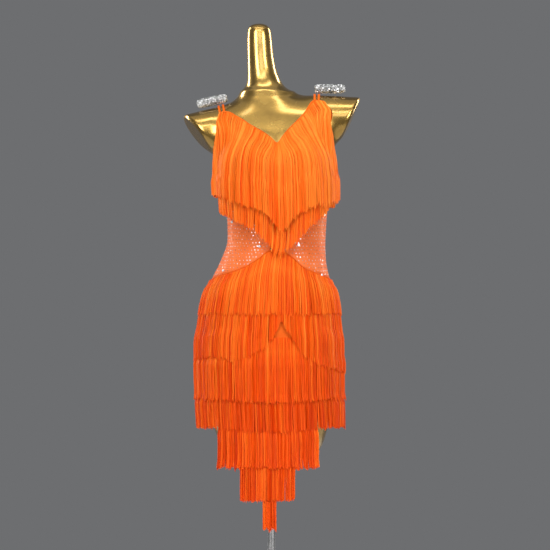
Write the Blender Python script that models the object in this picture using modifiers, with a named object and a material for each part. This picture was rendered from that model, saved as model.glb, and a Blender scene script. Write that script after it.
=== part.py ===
"""A fringed Latin dance dress on a limbless torso dress form.

The part stands on its round base plate, with +Z up and its front facing -Y. The origin is on the
floor, under the middle of the object. Heights and widths are in metres. Points on the body are given
by a height and an angle round its centre line: 0 degrees is the middle of the front, +90 the +X side,
180 the back. The cloth pieces are walls that lie on the body's surface, moved out, and below the
hips they hang straight down. Each fringe tier is a row of flat locks fused into a narrow tape.
"""

import math

import bmesh
import bpy
import numpy as np
from mathutils import Matrix, Vector

# Driving sizes.
FORM_BOTTOM = 0.299
NECK_TOP = 1.303
BASE_RADIUS = 0.160
BASE_THICKNESS = 0.012
POLE_RADIUS = 0.009
CLOTH_CLEARANCE = 0.0024
BODICE_TOP_EASE = 0.0036
CLOTH_THICKNESS = 0.0015
SEAM_GAP = 0.0003
SEAM_RISE = 0.0010
TAPE_CLEARANCE = 0.0052
LOCK_CLEARANCE = 0.0068
LOCK_THICKNESS = 0.0020
LAYER_PITCH = 0.0045
TAPE_HEIGHT = 0.008
LOCK_SHARE = 0.88
STRAP_WIDTH = 0.005
STRAP_CLEARANCE = 0.0021
STRAP_THICKNESS = 0.0013
BAR_LENGTH = 0.072
BAR_HEIGHT = 0.022
BAR_DEPTH = 0.030

# Sections of the trunk.
TORSO_COLUMNS = ("height", "centre_x", "half_width", "centre_y", "half_depth")
TORSO = (
    (0.299, 0.000, 0.062, 0.004, 0.052),
    (0.303, 0.000, 0.086, 0.004, 0.070),
    (0.315, 0.000, 0.105, 0.005, 0.085),
    (0.335, 0.000, 0.117, 0.006, 0.094),
    (0.364, -0.001, 0.128, 0.008, 0.101),
    (0.437, -0.004, 0.150, 0.010, 0.112),
    (0.505, -0.0055, 0.1595, 0.012, 0.117),
    (0.552, -0.006, 0.1605, 0.012, 0.118),
    (0.610, -0.005, 0.1565, 0.010, 0.115),
    (0.667, -0.003, 0.147, 0.006, 0.109),
    (0.7176, -0.001, 0.131, 0.002, 0.099),
    (0.759, 0.0046, 0.117, 0.000, 0.090),
    (0.805, 0.0115, 0.109, 0.000, 0.085),
    (0.8625, 0.0125, 0.1115, 0.000, 0.087),
    (0.897, 0.0115, 0.118, 0.000, 0.092),
    (0.943, 0.0105, 0.127, 0.001, 0.098),
    (0.989, 0.0104, 0.1315, 0.003, 0.099),
    (1.020, 0.009, 0.129, 0.006, 0.095),
    (1.058, 0.007, 0.120, 0.010, 0.085),
    (1.090, 0.004, 0.102, 0.013, 0.072),
    (1.115, -0.002, 0.078, 0.015, 0.056),
    (1.135, -0.010, 0.050, 0.016, 0.040),
)
TRUNK_SQUARENESS = 2.25

# The shoulders are one rounded bar across the top of the trunk.
SHOULDER_COLUMNS = ("x", "axis_height", "half_height", "half_depth")
SHOULDERS = (
    (-0.260, 1.026, 0.046, 0.044),
    (-0.200, 1.045, 0.048, 0.046),
    (-0.107, 1.063, 0.051, 0.052),
    (0.000, 1.080, 0.053, 0.056),
    (0.107, 1.086, 0.052, 0.052),
    (0.200, 1.086, 0.048, 0.046),
    (0.260, 1.084, 0.046, 0.044),
)
SHOULDER_CENTRE_Y = 0.012
SHOULDER_REACH = 0.245

NECK_COLUMNS = ("height", "centre_x", "radius")
NECK = (
    (1.090, -0.013, 0.062),
    (1.125, -0.014, 0.060),
    (1.148, -0.015, 0.052),
    (1.158, -0.0155, 0.0455),
    (1.175, -0.018, 0.038),
    (1.200, -0.0225, 0.033),
    (1.235, -0.026, 0.030),
    (1.270, -0.0277, 0.0285),
    (1.290, -0.0285, 0.026),
    (1.299, -0.029, 0.019),
    (1.303, -0.029, 0.009),
)
NECK_CENTRE_Y = 0.014

BUST_CENTRE_X = 0.0104
BUST_SPREAD = 0.052
BUST_HEIGHT = 0.962
BUST_DEPTH = -0.060
BUST_RADIUS = 0.066

# How widely the body's forms run into each other.
BUST_BLEND = 0.035
SHOULDER_BLEND = 0.045
NECK_BLEND = 0.022

# The faces that close the arms: a point at the top of each rim, one at its bottom, and how far the
# face turns to the front.
ARM_FACE_COLUMNS = ("side", "top_x", "top_height", "bottom_x", "bottom_height", "turn_to_front")
ARM_FACES = (
    ("left", -0.2013, 1.087, -0.1405, 1.0035, 0.22),
    ("right", 0.2084, 1.136, 0.1580, 1.0280, 0.05),
)

# Edges of the cloth: an angle round the body and a height.
BODICE_TOP_COLUMNS = ("hem_angle", "x", "height")
BODICE_TOP_FRONT = (
    (-90.0, -0.1300, 0.965),
    (-82.5, -0.1270, 0.990),
    (-75.0, -0.1235, 1.028),
    (-67.5, -0.1160, 1.066),
    (-60.0, -0.1095, 1.0995),
    (-52.5, -0.0960, 1.0985),
    (-45.0, -0.0790, 1.0890),
    (-37.5, -0.0640, 1.0800),
    (-30.0, -0.0500, 1.0700),
    (-22.5, -0.0350, 1.0610),
    (-15.0, -0.0210, 1.0530),
    (-7.5, -0.0030, 1.0400),
    (0.0, 0.0125, 1.0260),
    (7.5, 0.0240, 1.0400),
    (15.0, 0.0330, 1.0520),
    (22.5, 0.0440, 1.0640),
    (30.0, 0.0560, 1.0760),
    (37.5, 0.0670, 1.0880),
    (45.0, 0.0770, 1.1010),
    (52.5, 0.0930, 1.1260),
    (60.0, 0.1080, 1.1240),
    (67.5, 0.1210, 1.0880),
    (75.0, 0.1330, 1.0440),
    (82.5, 0.1390, 1.0020),
    (90.0, 0.1400, 0.972),
)
BODICE_TOP_BACK = (
    (90.0, 0.1400, 0.972),
    (112.5, 0.1290, 1.018),
    (127.5, 0.1100, 1.070),
    (135.0, 0.0970, 1.070),
    (150.0, 0.0650, 1.010),
    (180.0, 0.0100, 0.978),
    (210.0, -0.0460, 1.000),
    (225.0, -0.0960, 1.058),
    (232.5, -0.1080, 1.058),
    (247.5, -0.1220, 1.008),
    (270.0, -0.1300, 0.965),
)
EDGE_COLUMNS = ("angle", "height")
BODICE_HEM = (
    (-180.0, 0.7835), (-172.5, 0.7880), (-166.0, 0.8120), (-160.0, 0.8260), (-146.0, 0.8465),
    (-119.0, 0.8720), (-90.0, 0.8900), (-61.0, 0.8720), (-34.0, 0.8465), (-20.0, 0.8260),
    (-14.0, 0.8120), (-7.5, 0.7880), (0.0, 0.7835), (7.5, 0.7880), (14.0, 0.8120), (20.0, 0.8260),
    (34.0, 0.8465), (61.0, 0.8720), (90.0, 0.8920), (119.0, 0.8720), (146.0, 0.8465),
    (160.0, 0.8260), (166.0, 0.8120), (172.5, 0.7880), (180.0, 0.7835),
)
SKIRT_TOP = (
    (-180.0, 0.7825), (-158.0, 0.7635), (-137.0, 0.7370), (-106.0, 0.7200), (-90.0, 0.7155),
    (-74.0, 0.7200), (-43.0, 0.7370), (-22.0, 0.7600), (-8.0, 0.7805), (0.0, 0.7825),
    (8.0, 0.7800), (22.0, 0.7690), (43.0, 0.7390), (74.0, 0.7200), (90.0, 0.7155), (106.0, 0.7200),
    (137.0, 0.7370), (158.0, 0.7635), (180.0, 0.7825),
)
SKIRT_HEM = (
    (-180.0, 0.409), (-52.0, 0.409), (-34.0, 0.343), (-12.0, 0.276), (10.0, 0.276), (31.0, 0.343),
    (49.0, 0.409), (180.0, 0.409),
)

# Straps: where each leaves the bodice, lies on the shoulder and joins the back.
STRAP_COLUMNS = ("name", "front_x", "front_height", "shoulder_x", "back_x", "back_height")
STRAPS = (
    ("strap_left_outer", -0.1080, 1.1010, -0.1220, -0.1085, 1.0595),
    ("strap_left_inner", -0.0990, 1.1010, -0.1120, -0.0985, 1.0595),
    ("strap_right_inner", 0.0960, 1.1275, 0.0995, 0.0985, 1.0715),
    ("strap_right_outer", 0.1050, 1.1275, 0.1090, 0.1075, 1.0715),
)
BAR_COLUMNS = ("name", "x", "height", "tilt")
BARS = (
    ("shoulder_bar_left", -0.137, 1.1248, 12.3),
    ("shoulder_bar_right", 0.1346, 1.1531, 0.0),
)

# Fringe tiers, from the top down. Each has a root line and a hem line.
TIER_2_ROOT = (
    (-180.0, 0.938), (-90.0, 0.934), (-60.0, 0.940), (-26.0, 0.938), (0.0, 0.915), (5.0, 0.912),
    (26.0, 0.938), (60.0, 0.944), (90.0, 0.940), (180.0, 0.938),
)
TIER_3_ROOT_DROP = 0.0035
TIER_4_ROOT_DROP = 0.030
TIER_5_ROOT = ((-180.0, 0.582), (180.0, 0.582))
TIER_6_ROOT = ((-180.0, 0.5175), (180.0, 0.5175))
TIER_7_ROOT = ((-180.0, 0.4325), (180.0, 0.4325))
TIER_8_ROOT = ((-180.0, 0.3565), (180.0, 0.3565))
TIER_9_ROOT = ((-180.0, 0.2875), (180.0, 0.2875))
TIER_1_HEM = (
    (-180.0, 0.897), (-110.0, 0.905), (-90.0, 0.913), (-60.0, 0.904), (-35.0, 0.888), (-13.0, 0.869),
    (5.0, 0.828), (23.0, 0.869), (45.0, 0.886), (90.0, 0.897), (180.0, 0.897),
)
TIER_2_HEM = (
    (-180.0, 0.862), (-90.0, 0.872), (-50.0, 0.860), (-44.0, 0.853), (-26.0, 0.833), (-16.0, 0.812),
    (-6.0, 0.789), (5.0, 0.7705), (18.0, 0.796), (26.0, 0.819), (35.0, 0.844), (47.0, 0.8625),
    (59.0, 0.882), (90.0, 0.883), (180.0, 0.862),
)
TIER_3_HEM = ((-180.0, 0.636), (180.0, 0.636))
TIER_4_HEM = (
    (-180.0, 0.522), (-90.0, 0.530), (-47.0, 0.535), (-35.0, 0.527), (-26.0, 0.536), (-12.5, 0.545),
    (-4.0, 0.561), (7.0, 0.589), (11.0, 0.6175), (15.0, 0.596), (22.0, 0.573), (32.0, 0.5405),
    (39.0, 0.524), (51.0, 0.515), (77.0, 0.504), (90.0, 0.504), (180.0, 0.522),
)
TIER_5_HEM = ((-180.0, 0.440), (-80.0, 0.441), (6.0, 0.430), (80.0, 0.441), (180.0, 0.440))
TIER_6_HEM = ((-180.0, 0.375), (-80.0, 0.377), (0.0, 0.361), (80.0, 0.375), (180.0, 0.375))
TIER_7_HEM = ((-180.0, 0.283), (180.0, 0.283))
TIER_8_HEM = ((-180.0, 0.207), (180.0, 0.207))
TIER_9_HEM = ((-180.0, 0.138), (180.0, 0.138))

TIER_1_ROOT_DROP = 0.003
AROUND = (-90.0, 270.0)
TIER_7_SPAN = (-50.0, 47.0)
TIER_8_SPAN = (-32.0, 29.0)
TIER_9_SPAN = (-10.5, 8.5)

# How far a tier stands off the others' surface: the two on the bodice lie over its eased edge.
TIER_1_STAND_OFF = 0.0066
TIER_2_STAND_OFF = 0.0027
TIER_9_STAND_OFF = -0.0009

SEAM_RADIUS = 0.120
HIP_HEIGHT = 0.552
HANGING_ROW_SPREAD = 1.6
NET_REACH = 82.5
STRAP_POINTS = 49
RAY_LIMIT = 0.32
RAY_STEPS = 26
HANG_STEPS = 41
BEND_START = 0.018
BEND_END = 0.003
ROW_LEAST = 0.004
TURN_SHARE = 0.625
FORM_SIDES = 30
NECK_TURN_START = 1.02
NECK_TURN_LENGTH = 0.10
CLOTH_STEP = 7.5
STRAP_SWEEP = 120.0
SMOOTH_ANGLE = math.radians(40)

# The stand's pole, from the form's foot down: a plate, then the pole, then a collar.
HEAD_RADIUS = 0.034
HEAD_THICKNESS = 0.006
HEAD_CONE = 0.012
COLLAR_RADIUS = 0.020
COLLAR_HEIGHT = 0.018
COLLAR_CONE = 0.022
BASE_EDGE = 0.003
BAR_EDGE = BAR_HEIGHT * 0.3
ARM_BLOCK = (0.16, 0.30, 0.10)


def smooth_curve(keys, values, at):
    """A curve through the values that doesn't overshoot them (monotone cubic)."""
    keys, values = np.asarray(keys, float), np.asarray(values, float)
    gaps = np.diff(keys)
    slopes = np.diff(values) / gaps
    tangents = np.zeros_like(values)
    tangents[0], tangents[-1] = slopes[0], slopes[-1]
    same_way = slopes[:-1] * slopes[1:] > 0
    total = np.where(same_way, slopes[:-1] + slopes[1:], 1.0)
    tangents[1:-1] = np.where(same_way, 2 * slopes[:-1] * slopes[1:] / total, 0.0)
    at = np.clip(at, keys[0], keys[-1])
    cell = np.clip(np.searchsorted(keys, at) - 1, 0, len(gaps) - 1)
    t = (at - keys[cell]) / gaps[cell]
    rise = gaps[cell]
    return (
        (2 * t**3 - 3 * t**2 + 1) * values[cell]
        + (t**3 - 2 * t**2 + t) * rise * tangents[cell]
        + (3 * t**2 - 2 * t**3) * values[cell + 1]
        + (t**3 - t**2) * rise * tangents[cell + 1]
    )


def column_of(table, columns, name, at):
    keys = [row[0] for row in table]
    return smooth_curve(keys, [row[columns.index(name)] for row in table], at)


def edge_height(edge, angle):
    """The height of an edge or hem, at angles in degrees that may pass 180."""
    turned = (np.asarray(angle, float) + 180.0) % 360.0 - 180.0
    return smooth_curve([row[0] for row in edge], [row[1] for row in edge], turned)


def blend(a, b, width):
    """The union of two distance fields, with a fillet of about this width."""
    share = np.clip(0.5 + 0.5 * (b - a) / width, 0, 1)
    return b + (a - b) * share - width * share * (1 - share)


def body_centre(z):
    centre_x = column_of(TORSO, TORSO_COLUMNS, "centre_x", z)
    return centre_x, column_of(TORSO, TORSO_COLUMNS, "centre_y", z)


def trunk_distance(x, y, z):
    centre_x, centre_y = body_centre(z)
    half_width = column_of(TORSO, TORSO_COLUMNS, "half_width", z)
    half_depth = column_of(TORSO, TORSO_COLUMNS, "half_depth", z)
    across, along = np.abs(x - centre_x), np.abs(y - centre_y)
    power = TRUNK_SQUARENESS
    scale = ((across / half_width) ** power + (along / half_depth) ** power) ** (1 / power)
    distance = np.hypot(across, along) * (1 - 1 / np.maximum(scale, 1e-6))
    distance = np.where(scale < 1e-6, -half_depth, distance)
    return np.maximum(distance, np.maximum(z - TORSO[-1][0], FORM_BOTTOM - z))


def shoulder_distance(x, y, z):
    rise = z - column_of(SHOULDERS, SHOULDER_COLUMNS, "axis_height", x)
    depth = y - SHOULDER_CENTRE_Y
    half_height = column_of(SHOULDERS, SHOULDER_COLUMNS, "half_height", x)
    half_depth = column_of(SHOULDERS, SHOULDER_COLUMNS, "half_depth", x)
    scale = np.hypot(rise / half_height, depth / half_depth)
    distance = np.hypot(rise, depth) * (1 - 1 / np.maximum(scale, 1e-6))
    distance = np.where(scale < 1e-6, -half_height, distance)
    return np.maximum(distance, np.abs(x) - SHOULDER_REACH)


def neck_distance(x, y, z):
    centre_x = column_of(NECK, NECK_COLUMNS, "centre_x", z)
    radius = column_of(NECK, NECK_COLUMNS, "radius", z)
    distance = np.hypot(x - centre_x, y - NECK_CENTRE_Y) - radius
    return np.maximum(distance, np.maximum(NECK[0][0] - z, z - NECK_TOP))


def bust_distance(x, y, z):
    side = np.abs(x - BUST_CENTRE_X) - BUST_SPREAD
    return np.sqrt(side**2 + (y - BUST_DEPTH) ** 2 + (z - BUST_HEIGHT) ** 2) - BUST_RADIUS


def body_distance(x, y, z):
    """How far a point lies outside the body, in metres, less than zero inside it."""
    trunk = blend(trunk_distance(x, y, z), bust_distance(x, y, z), BUST_BLEND)
    shoulders = blend(trunk, shoulder_distance(x, y, z), SHOULDER_BLEND)
    return blend(shoulders, neck_distance(x, y, z), NECK_BLEND)


def ray_radius(angle, z, clearance, centre=None):
    """How far from the centre line the body's surface lies, moved out by the clearance."""
    centre_x, centre_y = body_centre(z) if centre is None else centre
    side, front = np.sin(np.radians(angle)), -np.cos(np.radians(angle))
    inner, outer = np.zeros(np.shape(angle)), np.full(np.shape(angle), RAY_LIMIT)
    for _ in range(RAY_STEPS):
        middle = (inner + outer) / 2
        outside = body_distance(centre_x + middle * side, centre_y + middle * front, z) > clearance
        outer = np.where(outside, middle, outer)
        inner = np.where(outside, inner, middle)
    return (inner + outer) / 2


def place(angle, radius, z):
    """Points in the world from angles, radii and heights round the body's centre line."""
    centre_x, centre_y = body_centre(z)
    turn = np.radians(angle)
    return np.stack([centre_x + radius * np.sin(turn), centre_y - radius * np.cos(turn), z], axis=-1)


def angle_at(x, z, behind, clearance):
    """The angle of the surface point with this x and height, on the front or on the back."""
    centre_x, centre_y = body_centre(z)
    near, far = centre_y + 0 * x, centre_y + (0.3 if behind else -0.3) + 0 * x
    for _ in range(RAY_STEPS):
        middle = (near + far) / 2
        outside = body_distance(x, middle, z) > clearance
        far = np.where(outside, middle, far)
        near = np.where(outside, near, middle)
    return np.degrees(np.arctan2(x - centre_x, centre_y - (near + far) / 2))


def bodice_top(hem_angle):
    """The angle and height of the bodice's top edge, for each angle at its hem."""
    turned = (np.asarray(hem_angle, float) + 90.0) % 360.0 - 90.0
    behind = turned > 90.0
    edges = {}
    for name, table in (("front", BODICE_TOP_FRONT), ("back", BODICE_TOP_BACK)):
        x = column_of(table, BODICE_TOP_COLUMNS, "x", turned)
        z = column_of(table, BODICE_TOP_COLUMNS, "height", turned)
        angle = angle_at(x, z, name == "back", CLOTH_CLEARANCE) % 360.0
        edges[name] = (angle if name == "back" else (angle + 180.0) % 360.0 - 180.0, z)
    angle = np.where(behind, edges["back"][0], edges["front"][0])
    height = np.where(behind, edges["back"][1], edges["front"][1])
    at_side = np.isclose(turned % 180.0, 90.0)
    return np.where(at_side, turned, angle), height


def fresh_scene():
    for item in list(bpy.data.objects):
        bpy.data.objects.remove(item, do_unlink=True)
    parts = bpy.data.collections.new("fringed_dance_dress")
    cutters = bpy.data.collections.new("cutters")
    for collection in (parts, cutters):
        bpy.context.scene.collection.children.link(collection)
    return parts, cutters


def finish(name, colour, roughness, metallic=0.0, alpha=1.0):
    material = bpy.data.materials.new(name)
    material.use_nodes = True
    shader = material.node_tree.nodes["Principled BSDF"]
    shader.inputs["Base Color"].default_value = (*colour, 1.0)
    shader.inputs["Roughness"].default_value = roughness
    shader.inputs["Metallic"].default_value = metallic
    shader.inputs["Alpha"].default_value = alpha
    return material


def add_object(name, mesh, material):
    piece = bpy.data.objects.new(name, mesh)
    PARTS.objects.link(piece)
    mesh.materials.append(material)
    return piece


def mesh_from(name, points, faces):
    mesh = bpy.data.meshes.new(name)
    mesh.from_pydata([tuple(point) for point in points], [], faces)
    mesh.validate()
    return mesh


def thicken(piece, thickness):
    solidify = piece.modifiers.new("wall", "SOLIDIFY")
    solidify.thickness = thickness
    solidify.offset = 1.0
    solidify.use_even_offset = False
    piece.data.shade_smooth()
    piece.data.set_sharp_from_angle(angle=SMOOTH_ANGLE)


def grid_faces(columns, rows):
    return [
        (i * rows + j, i * rows + j + 1, (i + 1) * rows + j + 1, (i + 1) * rows + j)
        for i in range(columns - 1)
        for j in range(rows - 1)
    ]


def cloth_panel(name, top, hem, rows, material, hangs=False, top_ease=0.0):
    """A wall of cloth on the body, from a top edge to a hem, each given as angles and heights.

    The top edge stands off the body by top_ease, which fades out towards the hem.
    """
    share = np.linspace(0, 1, rows) ** (HANGING_ROW_SPREAD if hangs else 1.0)
    angle = top[0][:, None] + (hem[0] - top[0])[:, None] * share
    height = top[1][:, None] + (hem[1] - top[1])[:, None] * share
    radius = ray_radius(angle, height, CLOTH_CLEARANCE + top_ease * (1 - share**2) + 0 * angle)
    if hangs:
        radius = np.maximum.accumulate(radius, axis=1)
    points = place(angle, radius, height).reshape(-1, 3)
    piece = add_object(name, mesh_from(name, points, grid_faces(len(hem[0]), rows)), material)
    thicken(piece, CLOTH_THICKNESS)


def ease(value):
    value = np.clip(value, 0, 1)
    return value * value * (3 - 2 * value)


def skirt_radius(angle, height):
    """Where the skirt hangs below the hips, with room for a tape on it."""
    share = np.linspace(0, 1, 8)
    start = np.maximum(height, HIP_HEIGHT)
    heights = start[:, None] + (height - start)[:, None] * share
    angles = angle[:, None] + 0 * heights
    return ray_radius(angles, heights, TAPE_CLEARANCE + 0 * heights).max(axis=1)


def lock_rows(root, hem, lower_roots, extra):
    """Heights of the rows of points down a lock: its tape, where it bends over lower tapes, its end."""
    rows = [root, root - TAPE_HEIGHT]
    for lower in lower_roots:
        for rise in (BEND_START, BEND_END):
            rows.append(np.maximum(np.minimum(lower + rise, rows[-1] - ROW_LEAST), hem + ROW_LEAST))
    rows.append(hem)
    for _ in range(extra):
        gaps = [float(np.mean(upper - lower)) for upper, lower in zip(rows[1:], rows[2:])]
        widest = 1 + gaps.index(max(gaps))
        rows.insert(widest + 1, (rows[widest] + rows[widest + 1]) / 2)
    return np.stack(rows, axis=1)


def fringe(name, locks, span, root, hem, lower_roots, extra_rows, stand_off, material):
    """Flat locks that hang from a tape: root gives the angle and height of the tape's top."""
    start, end = span
    closed = end - start >= 360.0
    pitch = (end - start) / locks
    margin = (1 - LOCK_SHARE) / 2
    hem_angle = np.array([
        start + pitch * (i + edge) for i in range(locks) for edge in (margin, 1 - margin)
    ])
    root_angle, root_height = root(hem_angle)
    hem_height = edge_height(hem, hem_angle)

    steps = np.linspace(0, 1, HANG_STEPS)
    turn = (hem_angle - root_angle + 180.0) % 360.0 - 180.0
    angle = root_angle[:, None] + turn[:, None] * ease(steps / TURN_SHARE)
    height = root_height[:, None] + (hem_height - root_height)[:, None] * steps
    lift = ease((root_height[:, None] - height) / BEND_START)
    clearance = stand_off + TAPE_CLEARANCE + (LOCK_CLEARANCE - TAPE_CLEARANCE) * lift
    radius = ray_radius(angle, height, clearance)
    radius[:, 0] = np.maximum(radius[:, 0], skirt_radius(root_angle, root_height) + stand_off)
    radius = np.maximum.accumulate(radius, axis=1)
    for lower in lower_roots:
        start_height = edge_height(lower, angle) + BEND_START
        radius = radius + LAYER_PITCH * ease((start_height - height) / (BEND_START - BEND_END))

    marks = [edge_height(lower, hem_angle) for lower in lower_roots[:1]]
    heights = lock_rows(root_height, hem_height, marks, extra_rows)
    rows = heights.shape[1]
    points = []
    for i in range(2 * locks):
        share = (root_height[i] - heights[i]) / (root_height[i] - hem_height[i])
        turn_at, reach = np.interp(share, steps, angle[i]), np.interp(share, steps, radius[i])
        points.extend(place(turn_at, reach, heights[i]))
    faces = []
    for i in range(2 * locks - (0 if closed else 1)):
        following = (i + 1) % (2 * locks)
        depth = rows - 1 if i % 2 == 0 else 1
        for j in range(depth):
            faces.append((i * rows + j, i * rows + j + 1, following * rows + j + 1, following * rows + j))
    piece = add_object(name, mesh_from(name, points, faces), material)
    thicken(piece, LOCK_THICKNESS)


def build_form(material):
    """The trunk, shoulders and neck, as rings, with the arms cut off flat."""
    heights = np.concatenate([
        [0.299, 0.303, 0.315, 0.335],
        np.arange(0.370, 0.66, 0.0480),
        np.arange(0.667, 0.99, 0.0290),
        np.arange(1.000, 1.100, 0.0200),
        [1.108, 1.117, 1.125, 1.131, 1.136, 1.141, 1.148, 1.160],
        [1.180, 1.210, 1.250, 1.290, 1.300, 1.303],
    ])
    angles = np.arange(FORM_SIDES) * 360.0 / FORM_SIDES
    share = ease((heights - NECK_TURN_START) / NECK_TURN_LENGTH)
    trunk_x, trunk_y = body_centre(heights)
    neck_x = column_of(NECK, NECK_COLUMNS, "centre_x", heights)
    centre_x = trunk_x + (neck_x - trunk_x) * share
    centre_y = trunk_y + (NECK_CENTRE_Y - trunk_y) * share
    form = bmesh.new()
    rings = []
    for height, x, y in zip(heights, centre_x, centre_y):
        at = np.full(FORM_SIDES, height)
        radius = ray_radius(angles, at, 0.0, (x, y))
        turn = np.radians(angles)
        ring = [
            form.verts.new((x + r * math.sin(t), y - r * math.cos(t), height))
            for r, t in zip(radius, turn)
        ]
        rings.append(ring)
    for lower, upper in zip(rings, rings[1:]):
        for i in range(FORM_SIDES):
            j = (i + 1) % FORM_SIDES
            form.faces.new((lower[i], lower[j], upper[j], upper[i]))
    form.faces.new(list(reversed(rings[0])))
    form.faces.new(rings[-1])
    mesh = bpy.data.meshes.new("form_torso")
    form.to_mesh(mesh)
    form.free()
    torso = add_object("form_torso", mesh, material)
    for row in ARM_FACES:
        face = dict(zip(ARM_FACE_COLUMNS, row))
        cut = torso.modifiers.new(f"arm_face_{face['side']}", "BOOLEAN")
        cut.operation = "DIFFERENCE"
        cut.object = arm_cutter(face)
    torso.data.shade_smooth()
    torso.data.set_sharp_from_angle(angle=SMOOTH_ANGLE)


def arm_cutter(face):
    """A block whose inner side is the flat face of one arm, and whose foot is at the armpit."""
    top = Vector((face["top_x"], SHOULDER_CENTRE_Y, face["top_height"]))
    bottom = Vector((face["bottom_x"], SHOULDER_CENTRE_Y, face["bottom_height"]))
    along = (top - bottom).normalized()
    side = -1 if face["side"] == "left" else 1
    outward = Vector((side * along.z, -face["turn_to_front"], -side * along.x)).normalized()
    across = along.cross(outward).normalized()
    depth, width, spare_height = ARM_BLOCK
    size = Vector((depth, width, (top - bottom).length + spare_height))
    middle = bottom + along * (size.z / 2) + outward * (size.x / 2)
    turn = Matrix((outward, across, along)).transposed().to_4x4()
    block = bmesh.new()
    bmesh.ops.create_cube(block, size=1.0)
    bmesh.ops.scale(block, vec=size, verts=block.verts)
    bmesh.ops.transform(block, matrix=Matrix.Translation(middle) @ turn, verts=block.verts)
    bmesh.ops.recalc_face_normals(block, faces=block.faces)
    mesh = bpy.data.meshes.new(f"arm_block_{face['side']}")
    block.to_mesh(mesh)
    block.free()
    cutter = bpy.data.objects.new(mesh.name, mesh)
    CUTTERS.objects.link(cutter)
    cutter.hide_render = True
    cutter.display_type = "WIRE"
    return cutter


def build_stand(material):
    """The base plate, and the pole with a collar at its foot and a plate under the form."""
    base = bmesh.new()
    bmesh.ops.create_cone(
        base, cap_ends=True, segments=32, radius1=BASE_RADIUS, radius2=BASE_RADIUS, depth=BASE_THICKNESS
    )
    mesh = bpy.data.meshes.new("stand_base")
    base.to_mesh(mesh)
    base.free()
    plate = add_object("stand_base", mesh, material)
    plate.location.z = BASE_THICKNESS / 2
    edge = plate.modifiers.new("edge", "BEVEL")
    edge.width = BASE_EDGE
    edge.segments = 1
    edge.limit_method = "ANGLE"

    foot = BASE_THICKNESS + SEAM_GAP
    head = FORM_BOTTOM - SEAM_GAP
    profile = (
        (0.0, head), (HEAD_RADIUS, head), (HEAD_RADIUS, head - HEAD_THICKNESS),
        (POLE_RADIUS, head - HEAD_CONE), (POLE_RADIUS, foot + COLLAR_CONE),
        (COLLAR_RADIUS, foot + COLLAR_HEIGHT), (COLLAR_RADIUS, foot), (0.0, foot),
    )
    mesh = bpy.data.meshes.new("stand_pole")
    mesh.from_pydata([(r, 0, z) for r, z in profile], [(i, i + 1) for i in range(len(profile) - 1)], [])
    pole = add_object("stand_pole", mesh, material)
    turned = pole.modifiers.new("turned", "SCREW")
    turned.steps = turned.render_steps = 24
    turned.use_merge_vertices = True
    turned.merge_threshold = 0.0001
    pole.location.x = TORSO[0][1]


def strap_path(strap):
    """Points over the shoulder, from the front of the bodice to its back, just clear of the body."""
    turns = np.linspace(-STRAP_SWEEP, STRAP_SWEEP, STRAP_POINTS)
    stations = [strap["front_x"], strap["shoulder_x"], strap["back_x"]]
    x = smooth_curve([-STRAP_SWEEP, 0, STRAP_SWEEP], stations, turns)
    axis_height = column_of(SHOULDERS, SHOULDER_COLUMNS, "axis_height", x)
    side, up = np.sin(np.radians(turns)), np.cos(np.radians(turns))
    inner, outer = np.zeros(STRAP_POINTS), np.full(STRAP_POINTS, 0.2)
    for _ in range(RAY_STEPS):
        reach = (inner + outer) / 2
        distance = body_distance(x, SHOULDER_CENTRE_Y + reach * side, axis_height + reach * up)
        outer = np.where(distance > STRAP_CLEARANCE, reach, outer)
        inner = np.where(distance > STRAP_CLEARANCE, inner, reach)
    points = np.stack([x, SHOULDER_CENTRE_Y + inner * side, axis_height + inner * up], axis=-1)
    lowest = np.where(turns < 0, strap["front_height"], strap["back_height"])
    return points[points[:, 2] > lowest]


def build_strap(row, material):
    """A narrow flat strap, its ends just above the bodice."""
    strap = dict(zip(STRAP_COLUMNS, row))
    across = np.array([STRAP_WIDTH / 2, 0.0, 0.0])
    points = [side for point in strap_path(strap) for side in (point - across, point + across)]
    faces = [(i, i + 1, i + 3, i + 2) for i in range(0, len(points) - 2, 2)]
    piece = add_object(strap["name"], mesh_from(strap["name"], points, faces), material)
    thicken(piece, STRAP_THICKNESS)


def build_bar(row, material):
    """A padded bar across the top of a shoulder, round at its edges."""
    bar = dict(zip(BAR_COLUMNS, row))
    block = bmesh.new()
    bmesh.ops.create_cube(block, size=1.0)
    bmesh.ops.scale(block, vec=(BAR_LENGTH, BAR_DEPTH, BAR_HEIGHT), verts=block.verts)
    mesh = bpy.data.meshes.new(bar["name"])
    block.to_mesh(mesh)
    block.free()
    piece = add_object(bar["name"], mesh, material)
    piece.location = (bar["x"], SHOULDER_CENTRE_Y, bar["height"])
    piece.rotation_euler = (0, math.radians(-bar["tilt"]), 0)
    edge = piece.modifiers.new("edge", "BEVEL")
    edge.width = BAR_EDGE
    edge.segments = 2


def build_bodice(material):
    """Front and back, which meet at the side seams."""
    for name, start in (("bodice_front", -90.0), ("bodice_back", 90.0)):
        hem_angle = np.arange(start, start + 180.1, CLOTH_STEP)
        top_angle, top_height = bodice_top(hem_angle)
        top_angle = hem_angle + (top_angle - hem_angle + 180.0) % 360.0 - 180.0
        hem_height = edge_height(BODICE_HEM, hem_angle) + SEAM_RISE / 2
        top, hem = (seam_room(top_angle), top_height), (seam_room(hem_angle), hem_height)
        cloth_panel(name, top, hem, 10, material, top_ease=BODICE_TOP_EASE)


def seam_room(angle):
    """Moves the first and last column in by half a seam gap."""
    half = math.degrees(SEAM_GAP / 2 / SEAM_RADIUS)
    moved = np.array(angle, float)
    moved[0] += half
    moved[-1] -= half
    return moved


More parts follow.
